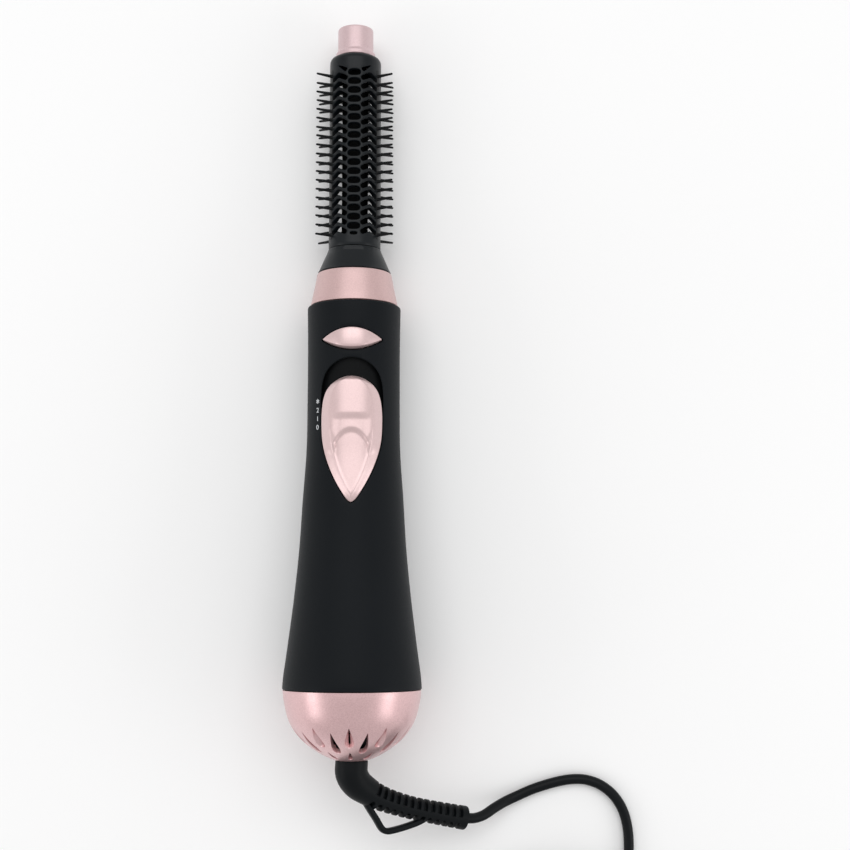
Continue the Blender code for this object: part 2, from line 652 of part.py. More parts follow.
make("brush_barrel", barrel_mesh(), SATIN, sharp=30.0)
make("barrel_core", revolve([(0.0, 67.0), (2.6, 70.0), (5.2, 77.0), (5.2, 144.2), (4.3, 144.2),
                             (4.3, 77.4), (2.0, 71.2), (0.0, 69.0)], 20), SATIN)
make("tip_cap", revolve([(0.0, TIP_S), (CAP_R - 0.8, TIP_S), (CAP_R, TIP_S - 0.8), (CAP_R, 151.0),
                         (7.9, 150.5), (7.9, 149.0), (5.0, 149.0), (5.0, 144.5), (3.8, 144.5),
                         (3.8, 159.4), (0.0, 159.4)], 24), ROSE)


def comb_mesh():
    """Rail with a row of tapered bristles, pointing along +n."""
    bm = bmesh.new()
    half, low, high = 0.75, 8.95, 10.45
    stations = [73.13]
    for k in range(BRISTLES - 1, -1, -1):
        s = BRISTLE_TOP - k * BRISTLE_PITCH
        stations += [s - 0.65, s + 0.65]
    stations.append(142.2)

    def v(x, s, n):
        return bm.verts.new(Vector((x, s, n)) * MM)

    left = [v(-half, s, high) for s in stations]
    right = [v(half, s, high) for s in stations]
    base = [v(-half, stations[0], low), v(half, stations[0], low),
            v(half, stations[-1], low), v(-half, stations[-1], low)]
    bm.faces.new(base)
    bm.faces.new([base[0], base[1], right[0], left[0]])
    bm.faces.new([base[2], base[3], left[-1], right[-1]])
    bm.faces.new([base[3], base[0]] + left)
    bm.faces.new([base[1], base[2]] + list(reversed(right)))
    for i in range(len(stations) - 1):
        if i % 2 == 0:
            bm.faces.new((left[i], right[i], right[i + 1], left[i + 1]))
            continue
        s = (stations[i] + stations[i + 1]) / 2
        tip = [v(-0.33, s - 0.33, BRISTLE_R), v(0.33, s - 0.33, BRISTLE_R),
               v(0.33, s + 0.33, BRISTLE_R), v(-0.33, s + 0.33, BRISTLE_R)]
        foot = [left[i], right[i], right[i + 1], left[i + 1]]
        for a in range(4):
            b = (a + 1) % 4
            bm.faces.new((foot[a], foot[b], tip[b], tip[a]))
        bm.faces.new(tip)
    return bm


first = make("bristle_strip_1", comb_mesh(), SATIN)
first.rotation_euler = (0.0, math.radians(COMB_AZ), 0.0)
for i, az in ((2, 180.0 - COMB_AZ), (3, 180.0 + COMB_AZ), (4, -COMB_AZ)):
    ob = bpy.data.objects.new("bristle_strip_%d" % i, first.data)
    ob.rotation_euler = (0.0, math.radians(az), 0.0)
    ob.parent = tool
    scene.collection.objects.link(ob)

# --------------------------------------------------- swivel, relief and loop
make("swivel_bush", revolve([(2.4, -128.5), (NECK_R, -128.5), (NECK_R, -120.7), (9.2, -120.7),
                             (9.2, -118.7), (2.4, -118.7)], 20), SATIN)
droop = math.radians(RELIEF_DROOP)
E_RHO = Vector((math.cos(droop), 0.0, -math.sin(droop)))
E_S = Vector((0.0, 1.0, 0.0))
E_NRM = E_RHO.cross(E_S)


def sweep(path, section, bm=None):
    """Sweep a section (u across in the plane, v along its normal) along a flat path."""
    bm = bm or bmesh.new()
    rings = []
    for i, p in enumerate(path):
        a, b = path[max(0, i - 1)], path[min(len(path) - 1, i + 1)]
        t = Vector((b[0] - a[0], b[1] - a[1])).normalized()
        across = E_RHO * t.y - E_S * t.x
        centre = E_RHO * p[0] + E_S * p[1]
        rings.append([bm.verts.new((centre + across * u + E_NRM * v) * MM)
                      for u, v in section(p)])
    m = len(rings[0])
    for a, b in zip(rings, rings[1:]):
        for j in range(m):
            k = (j + 1) % m
            bm.faces.new((a[j], a[k], b[k], b[j]))
    bm.faces.new(rings[0])
    bm.faces.new(list(reversed(rings[-1])))
    return bm


relief_path = smooth_path(RELIEF, 3.0)
relief = make("strain_relief", sweep(relief_path, lambda p: [
    (p[2] * math.cos(2 * math.pi * i / 10), p[2] * math.sin(2 * math.pi * i / 10)) for i in range(10)]),
    ((0.012, 0.012, 0.013), 0.5), sharp=50.0)
loop_path = smooth_path([(a, b, 0.0) for a, b in LOOP], 2.6)
hl = make("hang_loop", sweep(loop_path, lambda p: [
    (LOOP_T / 2, -LOOP_D / 2), (LOOP_T / 2, LOOP_D / 2), (-LOOP_T / 2, LOOP_D / 2), (-LOOP_T / 2, -LOOP_D / 2)]),
    None)
modify(relief, hl, "UNION")

# --------------------------------------------------------------- mains cord
CORD_LOOK = ((0.010, 0.010, 0.011), 0.45)
cord_path = smooth_path(CORD_ROUTE, 8.5)
tube("mains_cord", cord_path, CORD_D / 2, CORD_LOOK, None, res=2)

r_in, r_out = COIL_R[0] - 2.2, COIL_R[-1] + 2.2
z_in, z_out = COIL_Z0 - 2.0, COIL_Z0 + 14.2
bm = bmesh.new()
prof = [(r_in, z_in + 1.2), (r_in + 1.2, z_in), (r_out - 1.2, z_in), (r_out, z_in + 1.2),
        (r_out, z_out - 1.2), (r_out - 1.2, z_out), (r_in + 1.2, z_out), (r_in, z_out - 1.2)]
segs = 28
rings = [[bm.verts.new(Vector((COIL_C[0] + r * math.cos(2 * math.pi * i / segs),
                               COIL_C[1] + r * math.sin(2 * math.pi * i / segs), z)) * MM)
          for r, z in prof] for i in range(segs)]
for i in range(segs):
    a, b = rings[i], rings[(i + 1) % segs]
    for j in range(8):
        k = (j + 1) % 8
        bm.faces.new((a[j], a[k], b[k], b[j]))
make("cord_coil", bm, CORD_LOOK, parent=None)

# band round the coil
tie_az = math.radians(120.0)
e_r = Vector((math.cos(tie_az), math.sin(tie_az), 0.0))
e_t = Vector((-math.sin(tie_az), math.cos(tie_az), 0.0))
c0 = Vector((COIL_C[0], COIL_C[1], 0.0))
loops = []
bm = bmesh.new()
for r0, r1, z0, z1 in ((r_in - 1.1, r_out + 0.9, 0.0, z_out + 0.9), (r_in - 0.5, r_out + 0.3, 0.6, z_out + 0.3)):
    for side in (-3.0, 3.0):
        loops.append([bm.verts.new((c0 + e_r * r + e_t * side + Vector((0, 0, z))) * MM)
                      for r, z in ((r0, z0), (r1, z0), (r1, z1), (r0, z1))])
for a, b in ((0, 1), (2, 3), (0, 2), (1, 3)):
    for j in range(4):
        k = (j + 1) % 4
        bm.faces.new((loops[a][j], loops[a][k], loops[b][k], loops[b][j]))
make("cord_tie", bm, SATIN, parent=None)

# the cord leaves the top turn towards the plug
exit_az = math.radians(110.0)
p_exit = Vector((COIL_C[0] + COIL_R[-1] * math.cos(-exit_az), COIL_C[1] + COIL_R[-1] * math.sin(-exit_az), 0.0))
d_exit = Vector((-math.sin(exit_az), -math.cos(exit_az), 0.0))
d_side = Vector((-d_exit.y, d_exit.x, 0.0))


def end_point(u):
    f = min(1.0, u / (PLUG_U - 2.0))
    z = (COIL_Z0 + 12.0) + (PLUG_T / 2 - COIL_Z0 - 12.0) * (0.5 - 0.5 * math.cos(math.pi * f))
    return p_exit + d_exit * u + Vector((0, 0, z))


tube("cord_end", [end_point(16.4 + (PLUG_U - GAP - 16.4) * i / 3) for i in range(4)], CORD_D / 2, CORD_LOOK, None)

# flat two-pin plug
bm = bmesh.new()
sections = [(0.0, 2.9, 2.9), (9.0, 4.2, 4.0), (12.5, 6.5, 5.0), (16.0, 12.5, 6.2), (20.0, 17.65, 6.85),
            (PLUG_L - 1.2, 17.65, 6.85), (PLUG_L, 16.6, 5.9)]
rings = []
for u, w, t in sections:
    ring = []
    for k in range(12):
        a = 2 * math.pi * k / 12 + math.pi / 12
        cx, cz = math.cos(a), math.sin(a)
        m = max(abs(cx), abs(cz))
        q = 0.45                                 # between a circle and a box
        ring.append(bm.verts.new((p_exit + d_exit * (PLUG_U + u)
                                  + d_side * (w * (cx * (1 - q) + cx / m * q) * 1.0)
                                  + Vector((0, 0, PLUG_T / 2 + t * (cz * (1 - q) + cz / m * q)))) * MM))
    rings.append(ring)
for a, b in zip(rings, rings[1:]):
    for j in range(12):
        k = (j + 1) % 12
        bm.faces.new((a[j], a[k], b[k], b[j]))
bm.faces.new(rings[0])
bm.faces.new(list(reversed(rings[-1])))
make("plug_body", bm, SATIN, parent=None)
for name, side in (("plug_pin_left", 1.0), ("plug_pin_right", -1.0)):
    bm = bmesh.new()
    rings = []
    for u, r in ((GAP, PIN_R), (PIN_L - 1.2, PIN_R), (PIN_L, PIN_R * 0.6)):
        centre = p_exit + d_exit * (PLUG_U + PLUG_L + u) + d_side * side * PIN_X + Vector((0, 0, PLUG_T / 2))
        rings.append([bm.verts.new((centre + d_side * r * math.cos(2 * math.pi * k / 12)
                                    + Vector((0, 0, r * math.sin(2 * math.pi * k / 12)))) * MM)
                      for k in range(12)])
    for a, b in zip(rings, rings[1:]):
        for j in range(12):
            k = (j + 1) % 12
            bm.faces.new((a[j], a[k], b[k], b[j]))
    bm.faces.new(rings[0])
    bm.faces.new(list(reversed(rings[-1])))
    make(name, bm, STEEL, parent=None)
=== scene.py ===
# Hot air brush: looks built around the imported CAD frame.
import math
import random

import bmesh
import bpy
from mathutils import Matrix, Vector
from mathutils.geometry import delaunay_2d_cdt


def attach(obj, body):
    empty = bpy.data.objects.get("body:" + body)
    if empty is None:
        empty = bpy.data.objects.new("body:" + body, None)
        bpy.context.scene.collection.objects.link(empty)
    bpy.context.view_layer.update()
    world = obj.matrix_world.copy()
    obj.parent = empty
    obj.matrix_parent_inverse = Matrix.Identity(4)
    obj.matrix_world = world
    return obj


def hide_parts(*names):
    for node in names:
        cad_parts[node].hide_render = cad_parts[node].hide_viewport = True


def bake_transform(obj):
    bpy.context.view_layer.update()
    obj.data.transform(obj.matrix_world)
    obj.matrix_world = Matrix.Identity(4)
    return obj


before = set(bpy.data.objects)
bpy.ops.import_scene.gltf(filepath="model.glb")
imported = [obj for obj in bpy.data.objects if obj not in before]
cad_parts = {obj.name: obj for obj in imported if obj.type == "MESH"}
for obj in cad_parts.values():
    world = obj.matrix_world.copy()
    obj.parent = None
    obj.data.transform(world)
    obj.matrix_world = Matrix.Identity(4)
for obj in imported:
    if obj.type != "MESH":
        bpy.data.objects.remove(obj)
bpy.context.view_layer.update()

MM = 0.001
rng = random.Random(11)
scene = bpy.context.scene

# ------------------------------------------------------------- frame numbers
GRIP = [(-102.1, 26.6), (-101.8, 26.8), (-96.8, 26.4), (-87.3, 25.1), (-68.2, 22.7), (-48.9, 20.8),
        (-29.5, 19.6), (-9.9, 18.3), (9.9, 18.1), (29.8, 18.1), (45.6, 18.35), (46.6, 17.6)]
REST_LOW, REST_HIGH = (-101.8, 26.8), (45.6, 18.35)
TILT = math.atan((REST_LOW[1] - REST_HIGH[1]) / (REST_HIGH[0] - REST_LOW[0]))
FRAME_Z = REST_HIGH[0] * math.sin(TILT) + REST_HIGH[1] * math.cos(TILT)
TOOL = Matrix.Translation(Vector((0.0, -15.99, FRAME_Z)) * MM) @ Matrix.Rotation(-TILT, 4, "X")


# -------------------------------------------------------------------- camera
cam_data = bpy.data.cameras.new("camera")
cam_data.sensor_width = 36.0
cam_data.lens = 1530.0 * 36.0 / 850.0
cam_data.clip_start, cam_data.clip_end = 0.01, 50.0
camera = bpy.data.objects.new("camera", cam_data)
camera.location = (0.0280, -0.05542, 0.61965)
camera.rotation_euler = (math.radians(3.768), 0.0, 0.0)
scene.collection.objects.link(camera)
scene.camera = camera


# ------------------------------------------------------------- node materials
class Nodes:
    """Short-hand for a material's node tree."""

    def __init__(self, name):
        self.mat = bpy.data.materials.new(name)
        self.mat.use_nodes = True
        self.tree = self.mat.node_tree
        self.bsdf = self.tree.nodes["Principled BSDF"]
        self.coord = self.new("ShaderNodeTexCoord").outputs["Object"]

    def new(self, kind, **values):
        node = self.tree.nodes.new(kind)
        for key, value in values.items():
            if hasattr(node, key):
                setattr(node, key, value)
            else:
                node.inputs[key.replace("_", " ")].default_value = value
        return node

    def link(self, a, b):
        self.tree.links.new(a, b)

    def noise(self, scale, detail=2.0, rough=0.5, stretch=None):
        n = self.new("ShaderNodeTexNoise")
        n.inputs["Scale"].default_value = scale
        n.inputs["Detail"].default_value = detail
        n.inputs["Roughness"].default_value = rough
        if stretch:
            m = self.new("ShaderNodeMapping")
            m.inputs["Scale"].default_value = stretch
            self.link(self.coord, m.inputs["Vector"])
            self.link(m.outputs["Vector"], n.inputs["Vector"])
        else:
            self.link(self.coord, n.inputs["Vector"])
        return n.outputs["Fac"]

    def voronoi(self, scale, out="Distance", feature="F1"):
        n = self.new("ShaderNodeTexVoronoi")
        n.feature = feature
        n.inputs["Scale"].default_value = scale
        self.link(self.coord, n.inputs["Vector"])
        return n.outputs[out]

    def ramp(self, fac, stops):
        n = self.new("ShaderNodeValToRGB")
        els = n.color_ramp.elements
        while len(els) < len(stops):
            els.new(0.5)
        for e, (pos, col) in zip(els, stops):
            e.position = pos
            e.color = (*col, 1.0) if hasattr(col, "__len__") else (col, col, col, 1.0)
        self.link(fac, n.inputs["Fac"])
        return n.outputs["Color"]

    def span(self, fac, lo, hi, a=0.0, b=1.0):
        n = self.new("ShaderNodeMapRange")
        n.inputs["From Min"].default_value = a
        n.inputs["From Max"].default_value = b
        n.inputs["To Min"].default_value = lo
        n.inputs["To Max"].default_value = hi
        self.link(fac, n.inputs["Value"])
        return n.outputs["Result"]

    def bump(self, height, distance, strength=1.0, under=None):
        n = self.new("ShaderNodeBump")
        n.inputs["Strength"].default_value = strength
        n.inputs["Distance"].default_value = distance
        self.link(height, n.inputs["Height"])
        if under is not None:
            self.link(under, n.inputs["Normal"])
        return n.outputs["Normal"]

    def base(self, color):
        self.link(color, self.bsdf.inputs["Base Color"])

    def rough(self, value):
        self.link(value, self.bsdf.inputs["Roughness"])

    def normal(self, value):
        self.link(value, self.bsdf.inputs["Normal"])

    def set(self, **values):
        for key, value in values.items():
            self.bsdf.inputs[key.replace("_", " ")].default_value = value
        return self


def moulded(name, dark, light, r_lo, r_hi, grain=1400.0, depth=0.00002, **extra):
    """Moulded plastic: slow colour drift, fine grain in the surface and the gloss."""
    m = Nodes(name)
    drift = m.noise(28.0, 3.0)
    m.base(m.ramp(drift, [(0.3, dark), (0.7, light)]))
    fine = m.noise(grain, 3.0, 0.6)
    m.rough(m.span(fine, r_lo, r_hi, 0.25, 0.75))
    slow = m.noise(55.0, 2.0)
    m.normal(m.bump(fine, depth, 0.7, under=m.bump(slow, 0.00006, 0.12)))
    m.set(**extra)
    return m.mat


def pearl(name, base, shade, r_lo, r_hi, metal=0.55, **extra):
    """Rose metallic lacquer: flakes in colour and gloss under a clear coat."""
    m = Nodes(name)
    flake = m.voronoi(3600.0, "Color")
    sep = m.new("ShaderNodeSeparateColor")
    m.link(flake, sep.inputs["Color"])
    drift = m.noise(2800.0, 2.0)
    mixed = m.new("ShaderNodeMath")
    mixed.operation = "MULTIPLY_ADD"
    m.link(sep.outputs[0], mixed.inputs[0])
    mixed.inputs[1].default_value = 0.45
    m.link(drift, mixed.inputs[2])
    m.base(m.ramp(mixed.outputs[0], [(0.35, shade), (1.0, base)]))
    m.rough(m.span(sep.outputs[1], r_lo, r_hi))
    m.normal(m.bump(m.noise(2600.0, 2.0), 0.000006, 0.16))
    m.set(Metallic=metal, Coat_Weight=0.25, Coat_Roughness=0.16, **extra)
    return m.mat


def metal(name, color, dark, r_lo=0.2, r_hi=0.38, stretch=(60.0, 900.0, 60.0)):
    """Drawn or turned metal with fine streaks."""
    m = Nodes(name)
    streak = m.noise(1.0, 4.0, 0.6, stretch=stretch)
    m.base(m.ramp(streak, [(0.3, dark), (0.7, color)]))
    m.rough(m.span(streak, r_lo, r_hi, 0.25, 0.75))
    m.normal(m.bump(streak, 0.000015, 0.4))
    m.set(Metallic=1.0)
    return m.mat


M_GRIP = moulded("grip_soft_touch", (0.0030, 0.0045, 0.0062), (0.0042, 0.0058, 0.0078), 0.48, 0.60, 1900.0,
                 0.000018, Sheen_Weight=0.02, Sheen_Roughness=0.45, Specular_IOR_Level=0.13)
M_SATIN = moulded("satin_plastic", (0.0042, 0.0060, 0.0078), (0.0060, 0.0080, 0.0100), 0.30, 0.42, 1500.0, 0.000014,
                  Specular_IOR_Level=0.24)
M_BRISTLE = moulded("bristle_nylon", (0.0022, 0.0027, 0.0033), (0.0036, 0.0042, 0.0050), 0.30, 0.42, 2600.0, 0.000010,
                    Specular_IOR_Level=0.20)
M_DARK = moulded("inner_shadow_plastic", (0.0010, 0.0011, 0.0012), (0.0018, 0.0019, 0.0021), 0.60, 0.75, 1500.0,
                 0.000016, Specular_IOR_Level=0.08)
M_TRAY = moulded("recess_plastic", (0.0022, 0.0026, 0.0031), (0.0032, 0.0037, 0.0043), 0.55, 0.70, 1500.0,
                 0.000016, Specular_IOR_Level=0.12)
M_RUBBER = moulded("relief_rubber", (0.0022, 0.0032, 0.0042), (0.0034, 0.0046, 0.0058), 0.40, 0.54, 1700.0, 0.000018,
                   Specular_IOR_Level=0.14)
M_CORD = moulded("cord_sheath", (0.0024, 0.0034, 0.0044), (0.0038, 0.0050, 0.0062), 0.34, 0.48, 1200.0, 0.000016,
                 Specular_IOR_Level=0.16)
M_PLUG = moulded("plug_plastic", (0.0030, 0.0040, 0.0050), (0.0046, 0.0058, 0.0070), 0.36, 0.50, 1500.0, 0.000016,
                 Specular_IOR_Level=0.20)
M_MARK = moulded("printed_mark", (0.62, 0.64, 0.66), (0.74, 0.76, 0.78), 0.45, 0.6, 2500.0, 0.000005)
# One rose lacquer in four copies. Their base colours differ only as painted light and shade: the slider copy is painted
# lighter, and the ring and cap copies are painted darker than the dome's.
M_ROSE = pearl("rose_lacquer", (0.80, 0.550, 0.556), (0.66, 0.430, 0.436), 0.35, 0.40, metal=0.80)
M_RING_PAINTED_SHADE = pearl("rose_lacquer_ring_painted_shade", (0.68, 0.475, 0.465), (0.59, 0.400, 0.392), 0.42, 0.46, metal=0.50)
M_SLIDER_PAINTED_LIGHT = pearl("rose_lacquer_slider_painted_light", (0.76, 0.570, 0.565), (0.69, 0.505, 0.503), 0.33, 0.38, metal=0.58)
M_CAP_PAINTED_SHADE = pearl("rose_lacquer_cap_painted_shade", (0.70, 0.53, 0.545), (0.62, 0.455, 0.470), 0.44, 0.48, metal=0.45)
M_STEEL = metal("bright_steel", (0.62, 0.62, 0.64), (0.46, 0.46, 0.48))
M_BRASS = metal("nickelled_brass", (0.74, 0.70, 0.62), (0.58, 0.54, 0.46), 0.18, 0.32, (200.0, 200.0, 900.0))
M_NYLON = moulded("natural_nylon", (0.42, 0.39, 0.34), (0.55, 0.51, 0.46), 0.40, 0.58, 900.0, 0.00003)
M_MICA = moulded("mica_board", (0.46, 0.37, 0.24), (0.62, 0.52, 0.38), 0.45, 0.70, 420.0, 0.00005)
M_BOARD = moulded("circuit_board", (0.018, 0.085, 0.032), (0.030, 0.125, 0.050), 0.30, 0.44, 700.0, 0.00002)
M_INNER = moulded("inner_plastic", (0.0140, 0.0148, 0.0160), (0.0205, 0.0215, 0.0230), 0.44, 0.62, 1100.0, 0.00003)


# ------------------------------------------------------------ building blocks
def at(r, az, s):
    a = math.radians(az)
    return Vector((r * math.sin(a), s, r * math.cos(a))) * MM


def place(name, bm, mat, body, nodes=(), local=True, sharp=38.0, merge=2e-7):
    """Turn a bmesh into a piece that rides on a body and stands for CAD nodes."""
    if merge:
        bmesh.ops.remove_doubles(bm, verts=bm.verts, dist=merge)
    bmesh.ops.recalc_face_normals(bm, faces=bm.faces)
    me = bpy.data.meshes.new(name)
    bm.to_mesh(me)
    bm.free()
    return place_mesh(name, me, mat, body, nodes, local, sharp)


def place_mesh(name, me, mat, body, nodes=(), local=True, sharp=38.0):
    if local:
        me.transform(TOOL)
    me.shade_smooth()
    me.set_sharp_from_angle(angle=math.radians(sharp))
    me.materials.clear()
    me.materials.append(mat)
    ob = bpy.data.objects.new(name, me)
    scene.collection.objects.link(ob)
    if body:
        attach(ob, body)
    if nodes:
        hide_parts(*nodes)
    return ob


def revolve(prof, segs, az0=0.0, az1=360.0, bm=None):
    """Turn a closed or on-axis profile of (radius, station) about the tool axis."""
    bm = bm or bmesh.new()
    full = abs(az1 - az0) >= 359.999
    on_axis = prof[0][0] < 1e-9 and prof[-1][0] < 1e-9
    cols = segs if full else segs + 1
    grid = []
    for i in range(cols):
        az = az0 + (az1 - az0) * i / segs
        grid.append([bm.verts.new(at(r, az, s)) if (r > 1e-9 or i == 0) else None for r, s in prof])
    for i in range(1, cols):
        for j, (r, s) in enumerate(prof):
            if r <= 1e-9:
                grid[i][j] = grid[0][j]
    m = len(prof)
    for i in range(segs):
        a, b = grid[i], grid[(i + 1) % cols]
        for j in range(m - 1 if on_axis else m):
            k = (j + 1) % m
            ring = []
            for v in (a[j], a[k], b[k], b[j]):
                if v not in ring:
                    ring.append(v)
            if len(ring) > 2:
                bm.faces.new(ring)
    if not full:
        bm.faces.new(grid[0])
        bm.faces.new(list(reversed(grid[-1])))
    return bm


def rounded(prof, default=0.3, steps=4, closed=True):
    """Round a profile's corners; an entry (r, s, radius) sets its own radius."""
    out = []
    n = len(prof)
    for i, p in enumerate(prof):
        rad = p[2] if len(p) > 2 else default
        if not closed and i in (0, n - 1):
            out.append((p[0], p[1]))
            continue
        a, b, c = Vector(prof[i - 1][:2]), Vector(p[:2]), Vector(prof[(i + 1) % n][:2])
        u, v = (a - b), (c - b)
        if u.length < 1e-9 or v.length < 1e-9 or rad <= 0:
            out.append(tuple(b))
            continue
        ang = u.angle(v)
        if ang > math.radians(176):
            out.append(tuple(b))
            continue
        cut = min(rad / math.tan(ang / 2), u.length * 0.45, v.length * 0.45)
        p0, p2 = b + u.normalized() * cut, b + v.normalized() * cut
        for k in range(steps + 1):
            t = k / steps
            out.append(tuple(p0 * (1 - t) ** 2 + b * 2 * t * (1 - t) + p2 * t * t))
    return out


def smooth_path(pts, step):
    """Catmull-Rom curve through pts, resampled every step."""
    pts = [Vector(p) for p in pts]
    ext = [pts[0] * 2 - pts[1]] + pts + [pts[-1] * 2 - pts[-2]]
    fine = []
    for i in range(1, len(ext) - 2):
        p0, p1, p2, p3 = ext[i - 1:i + 3]
        for k in range(24):
            t = k / 24
            fine.append(0.5 * ((2 * p1) + (p2 - p0) * t + (2 * p0 - 5 * p1 + 4 * p2 - p3) * t * t
                               + (3 * p1 - p0 - 3 * p2 + p3) * t ** 3))
    fine.append(pts[-1])
    run = [0.0]
    for a, b in zip(fine, fine[1:]):
        run.append(run[-1] + (b - a).length)
    n = max(2, round(run[-1] / step))
    out, k = [], 0
    for i in range(n + 1):
        d = run[-1] * i / n
        while k < len(run) - 2 and run[k + 1] < d:
            k += 1
        t = (d - run[k]) / max(run[k + 1] - run[k], 1e-9)
        out.append(fine[k].lerp(fine[k + 1], t))
    return out


def ring_faces(bm, rings, caps=True):
    m = len(rings[0])
    for a, b in zip(rings, rings[1:]):
        for j in range(m):
            k = (j + 1) % m
            bm.faces.new((a[j], a[k], b[k], b[j]))
    if caps:
        bm.faces.new(rings[0])
        bm.faces.new(list(reversed(rings[-1])))


def frames(path):
    """Tangent and two steady normals at each point of a path."""
    out, up = [], None
    for i, p in enumerate(path):
        a, b = path[max(0, i - 1)], path[min(len(path) - 1, i + 1)]
        t = (b - a).normalized()
        if up is None:
            up = Vector((0, 0, 1)) if abs(t.z) < 0.9 else Vector((1, 0, 0))
        up = (up - t * up.dot(t)).normalized()
        out.append((t, up.copy(), t.cross(up)))
    return out


def smooth01(t):
    t = max(0.0, min(1.0, t))
    return t * t * (3 - 2 * t)


def lerp_table(table, s):
    """Table of (station, value) with rising stations, linear between them."""
    if s <= table[0][0]:
        return table[0][1]
    for (s0, v0), (s1, v1) in zip(table, table[1:]):
        if s <= s1:
            return v0 + (v1 - v0) * (s - s0) / (s1 - s0)
    return table[-1][1]


def loft_surface(contour, holes, to_point, layers, grid):
    """Perforated sheet: a flat layout triangulated, then lifted on two skins.

    contour: corner points of the flat area.  holes: (loop, open) outlines, or
    (loop, open, rows) with the walls' own (loop, depth) rows; an open one
    starts and ends on the area's edge.  layers: (grow, depth) from the outer
    skin to the inner one.  to_point(u, v, depth) gives the place.
    """
    pts, edges = [], []

    def chain(loop, closed):
        first = len(pts)
        pts.extend(Vector(p) for p in loop)
        n = len(loop)
        for i in range(n if closed else n - 1):
            edges.append((first + i, first + (i + 1) % n))

    chain(contour, True)
    grown = [(grow_loop(h[0], layers[0][0], h[1]), h[1]) for h in holes]
    for loop, is_open in grown:
        chain(loop, not is_open)
    for g in grid:
        if all(clear_of(g, loop, is_open, 0.16) for loop, is_open in grown):
            pts.append(Vector(g))
    co, _, faces, _, _, _ = delaunay_2d_cdt(pts, edges, [], 0, 1e-6)
    keep = []
    for f in faces:
        c = sum((co[i] for i in f), Vector((0, 0))) / len(f)
        if not any(inside_loop(c, loop) for loop, _ in grown):
            keep.append(f)
    bm = bmesh.new()
    for grow, depth in (layers[0], layers[-1]):
        vs = {}
        for f in keep:
            ring = []
            for i in f:
                if i not in vs:
                    vs[i] = bm.verts.new(to_point(co[i].x, co[i].y, depth))
                ring.append(vs[i])
            bm.faces.new(ring)
    for loop, is_open, *own in holes:
        edge = grow_loop(loop, layers[0][0], is_open)
        steps = own[0] if own else [(grow_loop(loop, grow, is_open), depth) for grow, depth in layers[1:]]
        rows = [[bm.verts.new(to_point(p[0], p[1], depth)) for p in line]
                for line, depth in [(edge, layers[0][1])] + steps + [(edge, layers[-1][1])]]
        n = len(loop)
        for a, b in zip(rows, rows[1:]):
            for i in range(n - 1 if is_open else n):
                k = (i + 1) % n
                bm.faces.new((a[i], a[k], b[k], b[i]))
    return bm


def grow_loop(loop, d, is_open):
    """Move a loop outwards by d; an open loop's ends slide along the edge."""
    if abs(d) < 1e-9:
        return [tuple(p) for p in loop]
    n = len(loop)
    area = sum(loop[i][0] * loop[(i + 1) % n][1] - loop[(i + 1) % n][0] * loop[i][1] for i in range(n))
    sign = 1.0 if area > 0 else -1.0
    out = []
    for i, p in enumerate(loop):
        if is_open and i == 0:
            out.append((p[0], p[1] + (d if p[1] > loop[-1][1] else -d)))
            continue
        if is_open and i == n - 1:
            out.append((p[0], p[1] + (d if p[1] > loop[0][1] else -d)))
            continue
        a, b = Vector(loop[i - 1]), Vector(loop[(i + 1) % n])
        t = (b - a).normalized()
        out.append((p[0] + sign * t.y * d, p[1] - sign * t.x * d))
    return out


def inside_loop(c, loop):
    hit = False
    n = len(loop)
    for i in range(n):
        (x0, y0), (x1, y1) = loop[i], loop[(i + 1) % n]
        if (y0 > c.y) != (y1 > c.y) and c.x < x0 + (x1 - x0) * (c.y - y0) / (y1 - y0):
            hit = not hit
    return hit


def clear_of(g, loop, is_open, gap):
    p = Vector(g)
    xs = [q[0] for q in loop]
    ys = [q[1] for q in loop]
    if p.x < min(xs) - gap or p.x > max(xs) + gap or p.y < min(ys) - gap or p.y > max(ys) + gap:
        return True
    if inside_loop(p, loop):
        return False
    n = len(loop)
    for i in range(n - 1 if is_open else n):
        a, b = Vector(loop[i]), Vector(loop[(i + 1) % n])
        ab = b - a
        t = max(0.0, min(1.0, (p - a).dot(ab) / max(ab.length_squared, 1e-12)))
        if (p - (a + ab * t)).length < gap:
            return False
    return True


# --------------------------------------------------------------- mains cord
CORD_R = 2.0
RELIEF = [(0.0, -129.2, 6.25), (0.0, -133.8, 6.25), (2.15, -137.6, 5.95), (6.15, -140.6, 5.4),
          (10.7, -143.1, 4.92), (16.3, -145.3, 4.58), (24.6, -147.85, 4.38), (33.4, -149.9, 4.42),
          (42.3, -151.8, 4.55), (47.0, -152.75, 4.62)]
DROOP = math.radians(22.3)
E_RHO = Vector((math.cos(DROOP), 0.0, -math.sin(DROOP)))
E_S = Vector((0.0, 1.0, 0.0))
E_NRM = E_RHO.cross(E_S)

CORD_ROUTE = [(44.0, -169.7, 11.7), (47.6, -169.9, 10.2), (51.3, -169.0, 8.4), (55.3, -166.8, 6.1),
              (59.9, -164.6, 3.7), (64.9, -162.6, 2.25), (70.0, -160.4, 2.0), (75.6, -158.5, 2.0),
              (80.8, -157.1, 2.0), (86.2, -156.2, 2.0), (92.2, -156.4, 2.0), (98.2, -158.6, 2.0),
              (103.3, -162.8, 2.0), (106.9, -168.8, 2.0), (108.7, -176.4, 2.0), (109.0, -185.0, 2.1),
              (109.0, -195.0, 2.3), (109.0, -203.2, 2.5), (109.0, -211.5, 2.8), (109.0, -219.0, 2.9)]
COIL_C = Vector((82.0, -219.0, 0.0))
Z1 = 2.9
LAYER = 4.0
